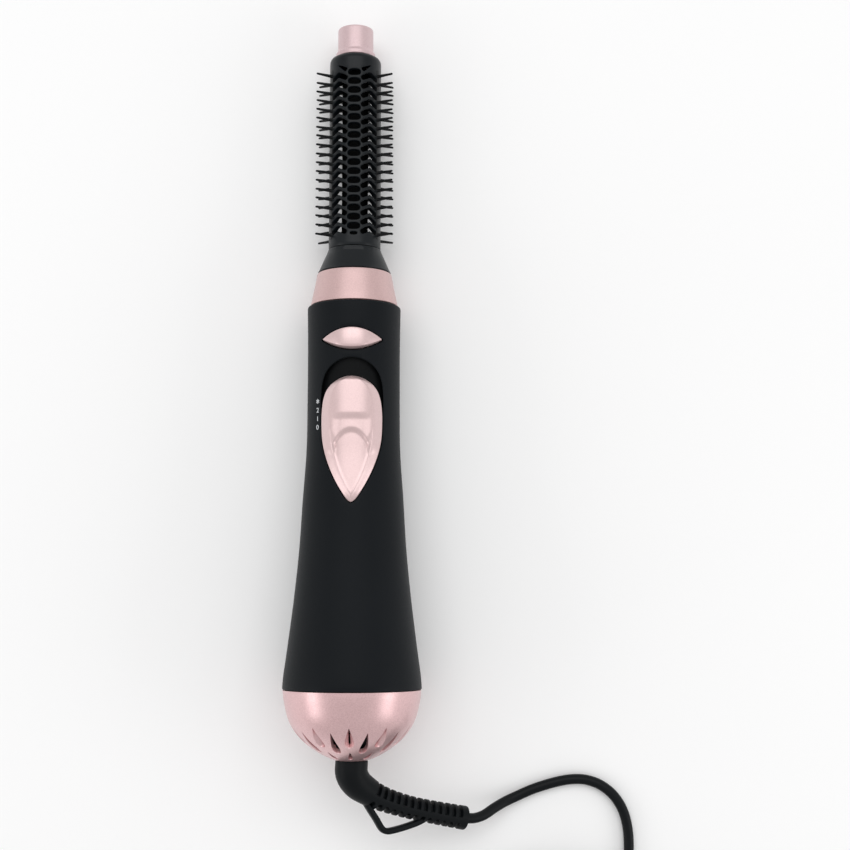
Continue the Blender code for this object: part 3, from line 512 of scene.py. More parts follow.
# (from, to, radius before, radius after, level before, level after), degrees run
JOGS = []
for lap in range(4):
    out_in = (27.0, 23.0, 19.0) if lap % 2 == 0 else (19.0, 23.0, 27.0)
    for q in range(3):
        a = 1080.0 * lap + 360.0 * q + 300.0
        if q < 2:
            JOGS.append((a, a + 60.0, out_in[q], out_in[q + 1], lap, lap))
        else:
            JOGS.append((a, a + 60.0, out_in[q], out_in[q], lap, lap + 1))
EXIT_TURN = 4070.0


def coil_point(psi):
    r, level = 27.0, 0.0
    for a, b, r0, r1, l0, l1 in JOGS:
        if psi >= b:
            r, level = r1, float(l1)
        elif psi > a:
            t = smooth01((psi - a) / (b - a))
            r, level = r0 + (r1 - r0) * t, l0 + (l1 - l0) * t
            break
        else:
            break
    ang = -math.radians(psi)
    return COIL_C + Vector((r * math.cos(ang), r * math.sin(ang), Z1 + LAYER * level))


exit_az = math.radians(110.0)
P_EXIT = COIL_C + Vector((27.0 * math.cos(-exit_az), 27.0 * math.sin(-exit_az), 0.0))
D_EXIT = Vector((-math.sin(exit_az), -math.cos(exit_az), 0.0))
D_SIDE = Vector((-D_EXIT.y, D_EXIT.x, 0.0))
PLUG_U, PLUG_L, PLUG_Z = 34.0, 36.0, 6.85


def cord_tail(u):
    f = max(0.0, min(1.0, (u - 5.0) / 28.0))
    z = (Z1 + 3 * LAYER) + (PLUG_Z - Z1 - 3 * LAYER) * (0.5 - 0.5 * math.cos(math.pi * f))
    return P_EXIT + D_EXIT * u + Vector((0, 0, z))


cord_path = smooth_path(CORD_ROUTE, 1.6)
psi = 0.0
while psi < EXIT_TURN - 2.0:
    psi += 4.0
    cord_path.append(coil_point(min(psi, EXIT_TURN)))
for k in range(1, 24):
    cord_path.append(cord_tail((PLUG_U + 1.5) * k / 23))
cord_path = [cord_path[0] - (cord_path[1] - cord_path[0]).normalized() * 2.0] + cord_path
cord_length = sum((b - a).length for a, b in zip(cord_path, cord_path[1:])) * MM

bm = bmesh.new()
rings = []
for (t, n, b), p in zip(frames(cord_path), cord_path):
    rings.append([bm.verts.new((p + (n * math.cos(2 * math.pi * k / 18) + b * math.sin(2 * math.pi * k / 18))
                                * CORD_R) * MM) for k in range(18)])
ring_faces(bm, rings)
bmesh.ops.recalc_face_normals(bm, faces=bm.faces)
me = bpy.data.meshes.new("mains_lead")
bm.to_mesh(me)
bm.free()
me.shade_smooth()
me.materials.append(M_CORD)
cord = bpy.data.objects.new("mains_lead", me)
scene.collection.objects.link(cord)
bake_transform(cord)
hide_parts("mains_cord", "cord_coil", "cord_end")

# ------------------------------------------------------------ plug with pins
bm = bmesh.new()
stations = [(0.0, 2.75, 2.75, 0.0), (0.5, 3.05, 3.05, 0.0), (2.3, 3.1, 3.1, 0.0), (2.6, 2.8, 2.8, 0.0),
            (3.4, 2.8, 2.8, 0.0), (3.7, 3.3, 3.3, 0.05), (5.3, 3.45, 3.4, 0.1), (5.6, 3.1, 3.05, 0.1),
            (6.4, 3.15, 3.1, 0.1), (6.7, 3.8, 3.7, 0.2), (8.6, 4.1, 3.9, 0.3), (10.5, 4.9, 4.3, 0.4),
            (12.5, 6.4, 4.9, 0.5), (14.3, 9.2, 5.6, 0.55), (16.2, 12.6, 6.2, 0.6), (18.2, 15.8, 6.65, 0.62),
            (20.2, 17.3, 6.82, 0.65), (22.5, 17.65, 6.85, 0.65), (34.6, 17.65, 6.85, 0.65), (35.5, 17.3, 6.5, 0.65),
            (36.0, 16.5, 5.8, 0.65)]
rings = []
for u, w, t, q in stations:
    ring = []
    for k in range(48):
        a = 2 * math.pi * k / 48
        cx, cz = math.cos(a), math.sin(a)
        m = max(abs(cx), abs(cz))
        e = 1.0 - 0.55 * q
        ex = math.copysign(abs(cx) ** e, cx)
        ez = math.copysign(abs(cz) ** e, cz)
        ring.append(bm.verts.new((P_EXIT + D_EXIT * (PLUG_U + u) + D_SIDE * (w * ex)
                                  + Vector((0, 0, PLUG_Z + t * ez))) * MM))
    rings.append(ring)
ring_faces(bm, rings)
plug = place("mains_plug", bm, M_PLUG, "root", ["plug_body"], local=False, sharp=50.0)
for name, side in (("plug_pin_left", 1.0), ("plug_pin_right", -1.0)):
    bm = bmesh.new()
    rings = []
    for u, r in ((0.3, 1.9), (0.3, 2.0), (9.8, 2.0), (10.0, 2.0), (17.2, 2.0), (18.2, 1.75), (18.8, 1.25), (19.0, 0.7)):
        centre = P_EXIT + D_EXIT * (PLUG_U + PLUG_L + u) + D_SIDE * side * 9.3 + Vector((0, 0, PLUG_Z))
        rings.append([bm.verts.new((centre + D_SIDE * r * math.cos(2 * math.pi * k / 28)
                                    + Vector((0, 0, r * math.sin(2 * math.pi * k / 28)))) * MM) for k in range(28)])
    ring_faces(bm, rings)
    place(name + "_round", bm, M_BRASS, "root", [name], local=False)

# --------------------------------------------------------- tie round the coil
tie_az = math.radians(120.0)
e_r = Vector((math.cos(tie_az), math.sin(tie_az), 0.0))
e_t = Vector((-math.sin(tie_az), math.cos(tie_az), 0.0))
c0 = Vector((COIL_C.x, COIL_C.y, 0.0))
r_in, r_out, z_hi = 16.3, 29.6, 17.45
corner = 1.9
bm = bmesh.new()
line = []
for cx, cz, a0 in ((r_out - corner, z_hi - corner, 0.0), (r_in + corner, z_hi - corner, 90.0),
                   (r_in + corner, 0.35 + corner, 180.0), (r_out - corner, 0.35 + corner, 270.0)):
    for k in range(7):
        a = math.radians(a0 + 90.0 * k / 6)
        line.append((cx + corner * math.cos(a), cz + corner * math.sin(a), math.cos(a), math.sin(a)))
rings = []
for r, z, nr, nz in line:
    ring = []
    for w, d in ((-3.0, 0.0), (-2.8, 0.22), (2.8, 0.22), (3.0, 0.0), (2.8, -0.22), (-2.8, -0.22)):
        ring.append(bm.verts.new((c0 + e_r * (r + nr * d) + e_t * w + Vector((0, 0, z + nz * d))) * MM))
    rings.append(ring)
rings.append(rings[0])
ring_faces(bm, rings, caps=False)
# folded end of the band
flap = [bm.verts.new((c0 + e_r * r + e_t * w + Vector((0, 0, z))) * MM)
        for z in (z_hi + 0.3, z_hi + 0.62) for r, w in ((19.0, -2.9), (26.0, -2.9), (27.0, -2.2), (27.0, 2.2), (26.0, 2.9), (19.0, 2.9))]
bm.faces.new(flap[:6])
bm.faces.new(list(reversed(flap[6:])))
for k in range(6):
    j = (k + 1) % 6
    bm.faces.new((flap[k], flap[j], flap[6 + j], flap[6 + k]))
tie = place("lead_tie", bm, M_DARK, "root", ["cord_tie"], local=False, sharp=40.0)

# -------------------------------------------------- strain relief and its loop
relief_path = smooth_path(RELIEF, 0.24)
run = [0.0]
for a, b in zip(relief_path, relief_path[1:]):
    run.append(run[-1] + math.hypot(b.x - a.x, b.y - a.y))
groove_from = next(run[i] for i, p in enumerate(relief_path) if p.x >= 8.9)
groove_to = next(run[i] for i, p in enumerate(relief_path) if p.x >= 43.3)
GROOVES = 13
pitch = (groove_to - groove_from) / (GROOVES - 1)


def relief_dent(d, phi):
    """Depth of the transverse grooves at path length d and section angle phi."""
    k = round((d - groove_from) / pitch)
    if k < 0 or k > GROOVES - 1:
        return 0.0
    off = abs(d - groove_from - k * pitch)
    along = smooth01((0.84 - off) / 0.26)
    best = 0.0
    for spine in (74.0, 254.0):
        for lo, hi in ((spine + 17.0, spine + 163.0),):
            x = (phi - lo) % 360.0
            if x < hi - lo:
                best = max(best, math.sqrt(max(0.0, 1.0 - max(0.0, 1.0 - min(x, hi - lo - x) / 11.0) ** 2)))
    return 1.35 * along * best


bm = bmesh.new()
rings = []
N_SEC = 84
for i, p in enumerate(relief_path):
    a, b = relief_path[max(0, i - 1)], relief_path[min(len(relief_path) - 1, i + 1)]
    t = Vector((b.x - a.x, b.y - a.y)).normalized()
    across = E_RHO * t.y - E_S * t.x
    centre = E_RHO * p.x + E_S * p.y
    tail = run[-1] - run[i]
    r = p.z - (0.07 if tail < 0.05 else 0.0)
    ring = []
    for k in range(N_SEC):
        phi = 360.0 * k / N_SEC
        rr = r - relief_dent(run[i], phi)
        ang = math.radians(phi)
        ring.append(bm.verts.new((centre + across * (rr * math.cos(ang)) + E_NRM * (rr * math.sin(ang))) * MM))
    rings.append(ring)
ring_faces(bm, rings)
LOOP = [(4.4, -142.6), (7.0, -147.0), (10.0, -151.4), (12.2, -154.9), (14.2, -156.1), (17.2, -155.9),
        (22.0, -154.9), (27.0, -153.5), (31.2, -151.6)]
loop_path = smooth_path([(a, b, 0.0) for a, b in LOOP], 0.7)
rings = []
for i, p in enumerate(loop_path):
    a, b = loop_path[max(0, i - 1)], loop_path[min(len(loop_path) - 1, i + 1)]
    t = Vector((b.x - a.x, b.y - a.y)).normalized()
    across = E_RHO * t.y - E_S * t.x
    centre = E_RHO * p.x + E_S * p.y
    ring = []
    for k in range(20):
        a_ = 2 * math.pi * k / 20
        cu, cv = math.cos(a_), math.sin(a_)
        u = 1.2 * math.copysign(abs(cu) ** 0.6, cu)
        v = 1.8 * math.copysign(abs(cv) ** 0.6, cv)
        ring.append(bm.verts.new((centre + across * u + E_NRM * v) * MM))
    rings.append(ring)
ring_faces(bm, rings)
relief = place("strain_relief_ribbed", bm, M_RUBBER, "swivel", ["strain_relief"], sharp=48.0)


# --------------------------------------------------------------------- grip
grip_curve = smooth_path([(r, s, 0.0) for s, r in GRIP[1:-1]], 0.5)
grip_table = [(p.y, p.x) for p in grip_curve]


def grip_r(s):
    return lerp_table(grip_table, s)


def outline_curve(pts, step):
    return [(p.x, p.y) for p in smooth_path([(a, b, 0.0) for a, b in pts], step)]


SLIDER = [(0.0, 16.62), (2.2, 16.35), (4.6, 15.6), (6.6, 14.45), (8.34, 13.0), (10.0, 10.6), (11.05, 7.2),
          (11.5, 3.2), (11.6, -0.85), (11.35, -6.6), (10.5, -11.6), (9.0, -16.6), (7.0, -21.4), (4.7, -25.8),
          (2.35, -29.6), (0.95, -31.15), (0.0, -31.65)]
slider_side = outline_curve(SLIDER, 0.35)
TRAVEL = 7.2
CLEAR = 0.38


def recess_loop():
    """Slider outline swept over its travel, plus clearance."""
    low = [(w, s) for w, s in slider_side if s <= -0.85]
    high = [(w, s + TRAVEL) for w, s in slider_side if s > -0.85]
    mid = [(11.6, -0.85 + TRAVEL * (1 - k / 6)) for k in range(1, 6)]
    side = high + mid + low
    loop = side + [(-w, s) for w, s in reversed(side[1:-1])]
    out = []
    n = len(loop)
    for i in range(n):
        a, b = Vector(loop[i - 1]), Vector(loop[(i + 1) % n])
        t = (b - a).normalized()
        out.append((loop[i][0] - t.y * CLEAR, loop[i][1] + t.x * CLEAR))
    return out


LENS_S, LENS_H, LENS_W = 31.35, 4.07, 11.3


def lens_loop(grow, count=40, tip=0.55):
    """Lens outline; its two tips are slightly rounded."""
    up = []
    for i in range(count + 1):
        x = -LENS_W * math.cos(math.pi * i / count)
        k = 1 - (abs(x) / LENS_W) ** 2
        up.append((x, LENS_S + tip * math.sqrt(max(0.0, 1 - (x / LENS_W) ** 2)) + (LENS_H - tip) * k))
    lo = [(x, 2 * LENS_S - s) for x, s in reversed(up)]
    loop = up + lo[1:-1]
    out = []
    n = len(loop)
    for i in range(n):
        a, b = Vector(loop[i - 1]), Vector(loop[(i + 1) % n])
        t = (b - a).normalized()
        out.append((loop[i][0] - t.y * grow, loop[i][1] + t.x * grow))
    return out


def to_layout(loop):
    """Outline (x, s) to the grip's flat layout (azimuth in degrees / 3, s)."""
    return [(math.degrees(math.asin(max(-1.0, min(1.0, x / grip_r(s))))) / 3.0, s) for x, s in loop]


WALL = 1.8


def grip_point(u, v, depth):
    az = math.radians(u * 3.0)
    r = grip_r(v)
    k = smooth01((abs(u * 3.0) - 48.0) / 14.0)
    d = Vector((-math.sin(az) * k, 0.0, -(math.cos(az) * k + (1 - k)))).normalized()
    return (Vector((r * math.sin(az), v, r * math.cos(az))) + d * depth) * MM


def rear_point(u, v, depth):
    az = math.radians(180.0 + u * 3.0)
    r = grip_r(v) - depth
    return Vector((r * math.sin(az), v, r * math.cos(az))) * MM


S_LO, S_HI = -101.8, 45.6
half_az = 89.5
az_marks = [-half_az + 2 * half_az * i / 90 for i in range(91)]
s_marks = [S_LO + (S_HI - S_LO) * i / 74 for i in range(75)]


def shell(point, holes, layers):
    contour = ([(a / 3.0, S_LO) for a in az_marks] + [(half_az / 3.0, s) for s in s_marks[1:-1]]
               + [(a / 3.0, S_HI) for a in reversed(az_marks)] + [(-half_az / 3.0, s) for s in reversed(s_marks[1:-1])])
    grid = [(a / 3.0, s) for a in az_marks[1:-1] for s in s_marks[1:-1]]
    bm = loft_surface(contour, holes, point, layers, grid)

    def strip(pts_a, pts_b):
        a = [bm.verts.new(p) for p in pts_a]
        b = [bm.verts.new(p) for p in pts_b]
        for i in range(len(a) - 1):
            bm.faces.new((a[i], a[i + 1], b[i + 1], b[i]))

    for side in (-1, 1):
        strip([point(side * half_az / 3.0, s, 0.0) for s in s_marks],
              [point(side * half_az / 3.0, s, WALL) for s in s_marks])
    for s_edge, lip in ((S_HI, [(0.0, 0.0), (0.06, 0.42), (0.28, 0.76), (0.62, 0.96), (1.0, 1.0), (1.6, 1.0), (WALL, 0.8), (WALL, 0.0)]),
                        (S_LO, [(0.0, 0.0), (0.06, -0.18), (0.25, -0.3), (1.5, -0.3), (WALL, -0.15), (WALL, 0.0)])):
        rows = []
        for depth, ds in lip:
            row = []
            for a in az_marks:
                p = point(a / 3.0, s_edge, 0.0)
                q = point(a / 3.0, s_edge, WALL)
                f = depth / WALL
                row.append(p.lerp(q, f) + Vector((0.0, ds * MM, 0.0)))
            rows.append(row)
        for a, b in zip(rows, rows[1:]):
            strip(a, b)
    return bm


layers = [(0.13, 0.0), (0.055, 0.05), (0.0, 0.16), (0.0, WALL)]
recess = to_layout(recess_loop())
lens_cut = to_layout(lens_loop(0.48))
shell_front = place("shell_front_soft", shell(grip_point, [(recess, False), (lens_cut, False)], layers), M_GRIP, "root",
                    ["handle_shell_front"], merge=4e-6, sharp=45.0)
shell_rear = place("shell_rear_soft", shell(rear_point, [], [(0.0, 0.0), (0.0, WALL)]), M_GRIP, "root",
                   ["handle_shell_rear"], merge=4e-6, sharp=45.0)

# floor of the recess
tray_prof = [(14.5, -34.5), (16.0, -34.5), (16.0, 26.6), (14.5, 26.6)]
place("recess_floor", revolve(tray_prof, 64, -56.0, 56.0), M_TRAY, "root", ["slider_tray"])

# printed position marks: a cool-shot star and the digits
def mark_matrix(az, s, lean=0.0):
    a = math.radians(az)
    ex = Vector((math.cos(a), 0.0, -math.sin(a)))
    ez = Vector((math.sin(a), 0.0, math.cos(a)))
    m = Matrix((ex, Vector((0, 1, 0)), ez)).transposed().to_4x4()
    return Matrix.Translation(at(grip_r(s) + 0.02, az, s)) @ m @ Matrix.Rotation(math.radians(lean), 4, "Z")


marks = bmesh.new()
for text, s in (("2", 4.1), ("1", 0.8), ("0", -2.5)):
    cu = bpy.data.curves.new("mark", "FONT")
    cu.body = text
    cu.size = 2.6 * MM
    cu.extrude = 0.03 * MM
    cu.align_x = "CENTER"
    cu.align_y = "CENTER"
    tmp = bpy.data.objects.new("mark", cu)
    scene.collection.objects.link(tmp)
    bpy.context.view_layer.update()
    me = bpy.data.meshes.new_from_object(tmp.evaluated_get(bpy.context.evaluated_depsgraph_get()))
    me.transform(mark_matrix(-47.0, s) @ Matrix.Diagonal((1.2, 1.0, 1.0, 1.0)))
    marks.from_mesh(me)
    bpy.data.objects.remove(tmp, do_unlink=True)
star = mark_matrix(-47.0, 7.6)
for k in range(3):
    spin = star @ Matrix.Rotation(math.radians(60.0 * k), 4, "Z")
    corners = [(-0.15, -0.95), (0.15, -0.95), (0.15, 0.95), (-0.15, 0.95)]
    vs = [marks.verts.new(spin @ (Vector((x, y, z)) * MM)) for z in (-0.03, 0.03) for x, y in corners]
    marks.faces.new(vs[:4])
    marks.faces.new(vs[4:])
    for i in range(4):
        j = (i + 1) % 4
        marks.faces.new((vs[i], vs[j], vs[4 + j], vs[4 + i]))
place("position_marks", marks, M_MARK, "root", merge=0)

# ------------------------------------------------------------------- slider
UNDER_R = 16.5


def slider_top(x, s, w):
    """Height of the thumb piece over the tool axis."""
    skin = math.sqrt(18.15 ** 2 - x * x)
    u = max(0.0, w - abs(x))
    flank = 3.35 - 0.35 * smooth01((s - 6.0) / 8.0) - 0.5 * smooth01((-14.0 - s) / 14.0)
    t = min(1.0, u / flank)
    end = min(1.0, max(0.0, (s + 31.65) / 4.2))
    edge = 0.95
    # long section: upper plateau, slope, saddle, scoop and lower plateau
    plateau = 3.15
    mid = smooth01((8.6 - abs(x)) / 4.2)
    mid = max(mid, smooth01((-3.0 - s) / 7.0))
    groove = -0.6 * mid * smooth01((2.6 - s) / 3.0)
    arc = -3.15 - 4.75 * min(1.0, abs(x) / 6.3) ** 2.2
    inner = smooth01((6.9 - abs(x)) / 1.0)
    scoop = -1.15 * smooth01((arc - s) / 2.0) * max(inner, smooth01((-8.6 - s) / 5.0))
    rise = 0.45 * smooth01((-10.0 - s) / 20.0)
    top = plateau + groove + scoop + rise
    if s < -4.0:
        top += 0.26 * smooth01((-4.0 - s) / 6.0) * math.exp(-((u - flank) / 0.6) ** 2)
    shape = 1.0 - (1.0 - t) ** 1.3
    head = smooth01((16.62 - s) / 2.0)
    crown = 0.18 * (1 - (abs(x) / 11.6) ** 2)
    return skin + edge + (top - edge) * shape * (0.25 + 0.75 * head) * (0.35 + 0.65 * end) + crown * t


bm = bmesh.new()
rows = []
COLS = 72
for w, s in slider_side:
    w = max(w, 0.02)
    row = []
    for k in range(9):
        f = -1.0 + 2.0 * k / 8
        x = w * f
        row.append(bm.verts.new(Vector((x, s, math.sqrt(UNDER_R ** 2 - x * x))) * MM))
    for k in range(COLS + 1):
        f = math.cos(math.pi * k / COLS)
        f = math.copysign(abs(f) ** 0.85, f)
        x = w * f
        row.append(bm.verts.new(Vector((x, s, slider_top(x, s, w))) * MM))
    rows.append(row)
for a, b in zip(rows, rows[1:]):
    m = len(a)
    for j in range(m):
        k = (j + 1) % m
        bm.faces.new((a[j], a[k], b[k], b[j]))
bm.faces.new(rows[0])
bm.faces.new(list(reversed(rows[-1])))
for x0, x1, y0, y1, z0, z1 in ((-1.7, 1.7, -2.6, 2.6, 15.1, 16.8),):
    vs = [bm.verts.new(Vector(p) * MM) for p in ((x0, y0, z0), (x1, y0, z0), (x1, y1, z0), (x0, y1, z0),
                                                  (x0, y0, z1), (x1, y0, z1), (x1, y1, z1), (x0, y1, z1))]
    for q in ((0, 1, 2, 3), (4, 5, 6, 7), (0, 1, 5, 4), (1, 2, 6, 5), (2, 3, 7, 6), (3, 0, 4, 7)):
        bm.faces.new([vs[i] for i in q])
place("thumb_slider", bm, M_SLIDER_PAINTED_LIGHT, "slider", ["slider_button"], sharp=50.0)

# ----------------------------------------------------------- release button
PIVOT_S, PIVOT_N = 41.0, 14.6
base = lens_loop(0.0, 48)
n = len(base)
half_n = 48
bm = bmesh.new()
rows = []
for i in range(half_n + 1):
    x, s_up = base[i]
    s_dn = 2 * LENS_S - s_up
    if i in (0, half_n):
        s_up, s_dn = LENS_S + 0.05, LENS_S - 0.05
    swell = max(0.0, 1 - (x / LENS_W) ** 2)
    row = []
    for s in (s_dn, s_up):
        row.append(bm.verts.new(Vector((x, s, math.sqrt(15.4 ** 2 - x * x))) * MM))
    skin = math.sqrt(18.1 ** 2 - x * x)
    cut = 0.62 * swell
    hi = skin + 0.85 + 1.15 * swell
    face_lo = s_dn + cut
    profile = [(s_up, skin + 0.2), (s_up, hi - 0.45), (s_up - 0.12 * swell, hi - 0.12), (s_up - 0.4 * swell, hi)]
    for k in range(1, 8):
        f = k / 8
        profile.append((s_up - 0.4 * swell + (face_lo + 0.25 * swell - s_up + 0.4 * swell) * f,
                        hi + 0.25 * swell * math.sin(math.pi * f)))
    profile += [(face_lo + 0.25 * swell, hi + 0.02), (face_lo + 0.04, hi - 0.12), (face_lo - 0.12 * swell, hi - 0.42),
                (s_dn + 0.15 * swell, skin + 0.25), (s_dn, skin - 0.3)]
    for s, nn in profile:
        row.append(bm.verts.new(Vector((x, s, nn)) * MM))
    rows.append(row)
for a, b in zip(rows, rows[1:]):
    m = len(a)
    for j in range(m):
        k = (j + 1) % m
        bm.faces.new((a[j], a[k], b[k], b[j]))
bm.faces.new(rows[0])
bm.faces.new(list(reversed(rows[-1])))
arm = [(29.6, 13.2), (38.9, 13.2), (39.4, 12.8), (42.6, 12.8), (43.1, 13.2), (52.5, 13.2), (52.5, 14.2), (43.3, 14.2),
       (42.4, 15.85), (39.6, 15.85), (38.6, 14.2), (34.2, 14.2), (34.2, 16.0), (29.6, 16.0)]
lo = [bm.verts.new(Vector((-2.4, s, q)) * MM) for s, q in arm]
hi = [bm.verts.new(Vector((2.4, s, q)) * MM) for s, q in arm]
bm.faces.new(lo)
bm.faces.new(list(reversed(hi)))
for i in range(len(arm)):
    j = (i + 1) % len(arm)
    bm.faces.new((lo[i], lo[j], hi[j], hi[i]))
place("release_lens", bm, M_SLIDER_PAINTED_LIGHT, "release", ["release_button"], sharp=35.0)

# return spring under the button
spring_path = []
for i in range(181):
    a = 2 * math.pi * 3.5 * i / 180
    z = 11.42 + 1.32 * smooth01(i / 180) if i in (0, 180) else 11.42 + 1.32 * i / 180
    spring_path.append(Vector((1.5 * math.cos(a), LENS_S + 1.5 * math.sin(a), z)))
bm = bmesh.new()
rings = []
for (t, n, b), p in zip(frames(spring_path), spring_path):
    rings.append([bm.verts.new((p + (n * math.cos(2 * math.pi * k / 10) + b * math.sin(2 * math.pi * k / 10))
                                * 0.17) * MM) for k in range(10)])
ring_faces(bm, rings)
spring = place("release_spring_coil", bm, M_STEEL, None, ())
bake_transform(spring)
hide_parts("release_spring")

# -------------------------------------------------------------- collar ring
def bool_cut(bm_main, cutters, mat_name="cut"):
    """Subtract closed boxes from a mesh, and return the result as a new mesh."""
    me_a = bpy.data.meshes.new("a")
    bmesh.ops.remove_doubles(bm_main, verts=bm_main.verts, dist=1e-7)
    bmesh.ops.recalc_face_normals(bm_main, faces=bm_main.faces)
    bm_main.to_mesh(me_a)
    bm_main.free()
    a = bpy.data.objects.new("a", me_a)
    scene.collection.objects.link(a)
    tools = []
    for bm_c in cutters:
        bmesh.ops.recalc_face_normals(bm_c, faces=bm_c.faces)
        me_c = bpy.data.meshes.new("c")
        bm_c.to_mesh(me_c)
        bm_c.free()
        c = bpy.data.objects.new("c", me_c)
        scene.collection.objects.link(c)
        md = a.modifiers.new("cut", "BOOLEAN")
        md.operation, md.solver, md.object = "DIFFERENCE", "EXACT", c
        tools.append(c)
    bpy.context.view_layer.update()
    me = bpy.data.meshes.new_from_object(a.evaluated_get(bpy.context.evaluated_depsgraph_get()))
    for o in [a] + tools:
        bpy.data.objects.remove(o, do_unlink=True)
    return me


def box_bm(x0, x1, s0, s1, n0, n1):
    bm = bmesh.new()
    vs = [bm.verts.new(Vector(p) * MM) for p in ((x0, s0, n0), (x1, s0, n0), (x1, s1, n0), (x0, s1, n0),
                                                  (x0, s0, n1), (x1, s0, n1), (x1, s1, n1), (x0, s1, n1))]
    for q in ((3, 2, 1, 0), (4, 5, 6, 7), (0, 1, 5, 4), (1, 2, 6, 5), (2, 3, 7, 6), (3, 0, 4, 7)):
        bm.faces.new([vs[i] for i in q])
    return bm


ring_prof = rounded([(13.25, 44.2, 0.3), (15.9, 44.2, 0.3), (15.9, 45.8, 0.1), (15.0, 46.2, 0.1), (15.0, 47.0, 0.1), (17.25, 47.0, 0.22),
                     (16.45, 50.9, 0.0), (15.75, 54.2, 0.0), (15.2, 57.0, 0.0), (14.85, 59.1, 0.0), (14.62, 59.9, 0.35), (13.25, 59.9, 0.35)], 0.3)
me = bool_cut(revolve(ring_prof, 180), [box_bm(-3.0, 3.0, 43.5, 53.0, 12.0, 15.4)])
place_mesh("collar_rose", me, M_RING_PAINTED_SHADE, "root", ["collar_ring"], sharp=35.0)

# -------------------------------------------------------------- brush skirt
flare = smooth_path([(14.37, 60.55, 0.0), (13.7, 61.9, 0.0), (12.75, 64.1, 0.0), (11.75, 66.4, 0.0), (10.85, 68.4, 0.0), (10.5, 69.45, 0.0)], 0.4)
skirt_prof = ([(11.4, 50.6), (11.6, 50.3), (12.7, 50.3), (12.9, 50.6), (12.9, 60.2), (14.1, 60.2), (14.3, 60.32)]
              + [(p.x, p.y) for p in flare] + [(10.35, 69.7), (9.2, 69.7), (9.2, 64.0), (11.4, 61.0)])
me = bool_cut(revolve(skirt_prof, 160), [box_bm(-2.8, 2.8, 50.9, 52.7, 12.2, 16.0), box_bm(-4.0, 4.0, 67.9, 70.2, 9.95, 12.0)])
place_mesh("skirt_flared", me, M_SATIN, "brush", ["brush_skirt"], sharp=32.0)

# -------------------------------------------------------------- brush barrel
BARREL_R, BARREL_RI = 10.3, 8.2
PITCH = 3.678
ARC = math.pi * BARREL_R / 180.0
B_LO, B_HI = 71.5, 145.0
OVAL_TOP = 140.07


def oval(mid, half_w, half_h, p=2.6, n=26):
    """Half of a squarish oval, from its top round to its bottom, at azimuth 0."""
    out = []
    for i in range(n + 1):
        a = math.pi * i / n
        cx, cy = math.sin(a), math.cos(a)
        k = (abs(cx) ** p + abs(cy) ** p) ** (-1.0 / p)
        out.append((half_w * cx * k, mid + half_h * cy * k))
    out[0] = (0.0, out[0][1])
    out[-1] = (0.0, out[-1][1])
    return out


def stroke(line, half):
    """Outline of a thick line with round ends; half may vary along it."""
    pts = smooth_path([(a, b, 0.0) for a, b in line], 0.35)
    n = len(pts)
    left, right = [], []
    for i, p in enumerate(pts):
        a, b = pts[max(0, i - 1)], pts[min(n - 1, i + 1)]
        t = Vector((b.x - a.x, b.y - a.y)).normalized()
        h = half(i / (n - 1))
        left.append((p.x - t.y * h, p.y + t.x * h))
        right.append((p.x + t.y * h, p.y - t.x * h))
    def cap(i, sign):
        p = pts[i]
        a, b = pts[max(0, i - 1)], pts[min(n - 1, i + 1)]
        t = Vector((b.x - a.x, b.y - a.y)).normalized() * sign
        h = half(i / (n - 1))
        q = []
        for k in range(1, 6):
            a_ = math.pi * k / 6
            c, s_ = math.cos(a_), math.sin(a_)
            m = 0.8
            q.append((p.x - t.y * h * c * 1.0 + t.x * h * s_ * m, p.y + t.x * h * c + t.y * h * s_ * m))
        return q
    return left + cap(n - 1, 1.0) + list(reversed(right)) + cap(0, -1.0)


slots = []
for k in range(18):
    slots.append((oval(OVAL_TOP - k * PITCH, 2.66, 1.36), True))
slots.append((oval(74.6, 1.5, 0.65), True))
# slots climb away from the ovals, crest and run on round the barrel
for k in range(19):
    mid = OVAL_TOP - k * PITCH
    line = [(3.5, mid - 2.25), (4.6, mid - 1.68), (5.7, mid - 1.12), (6.5, mid - 0.78), (7.0, mid - 0.76), (7.8, mid - 1.12),
            (8.8, mid - 1.62), (9.8, mid - 2.10)]
    if k == 18:
        break
    slots.append((stroke(line, lambda f: 1.00 + 0.12 * math.sin(math.pi * min(1.0, f * 1.3))), False))
slots.append((stroke([(3.7, OVAL_TOP + 1.25), (5.0, OVAL_TOP + 2.05), (6.9, OVAL_TOP + 3.2)],
                     lambda f: 0.78 * (1 - f) ** 0.8 + 0.10), False))

az_b = [2.5 * i for i in range(37)]
s_b = [B_LO + (B_HI - B_LO) * i / 40 for i in range(41)]


def half_edges(lo_s, hi_s):
    """Points up the azimuth-0 edge, skipping the ovals."""
    return [s for s in s_b[1:-1]
            if all(not (min(p[1] for p in loop) - 0.35 < s < max(p[1] for p in loop) + 0.35)
                   for loop, is_open in slots if is_open)]


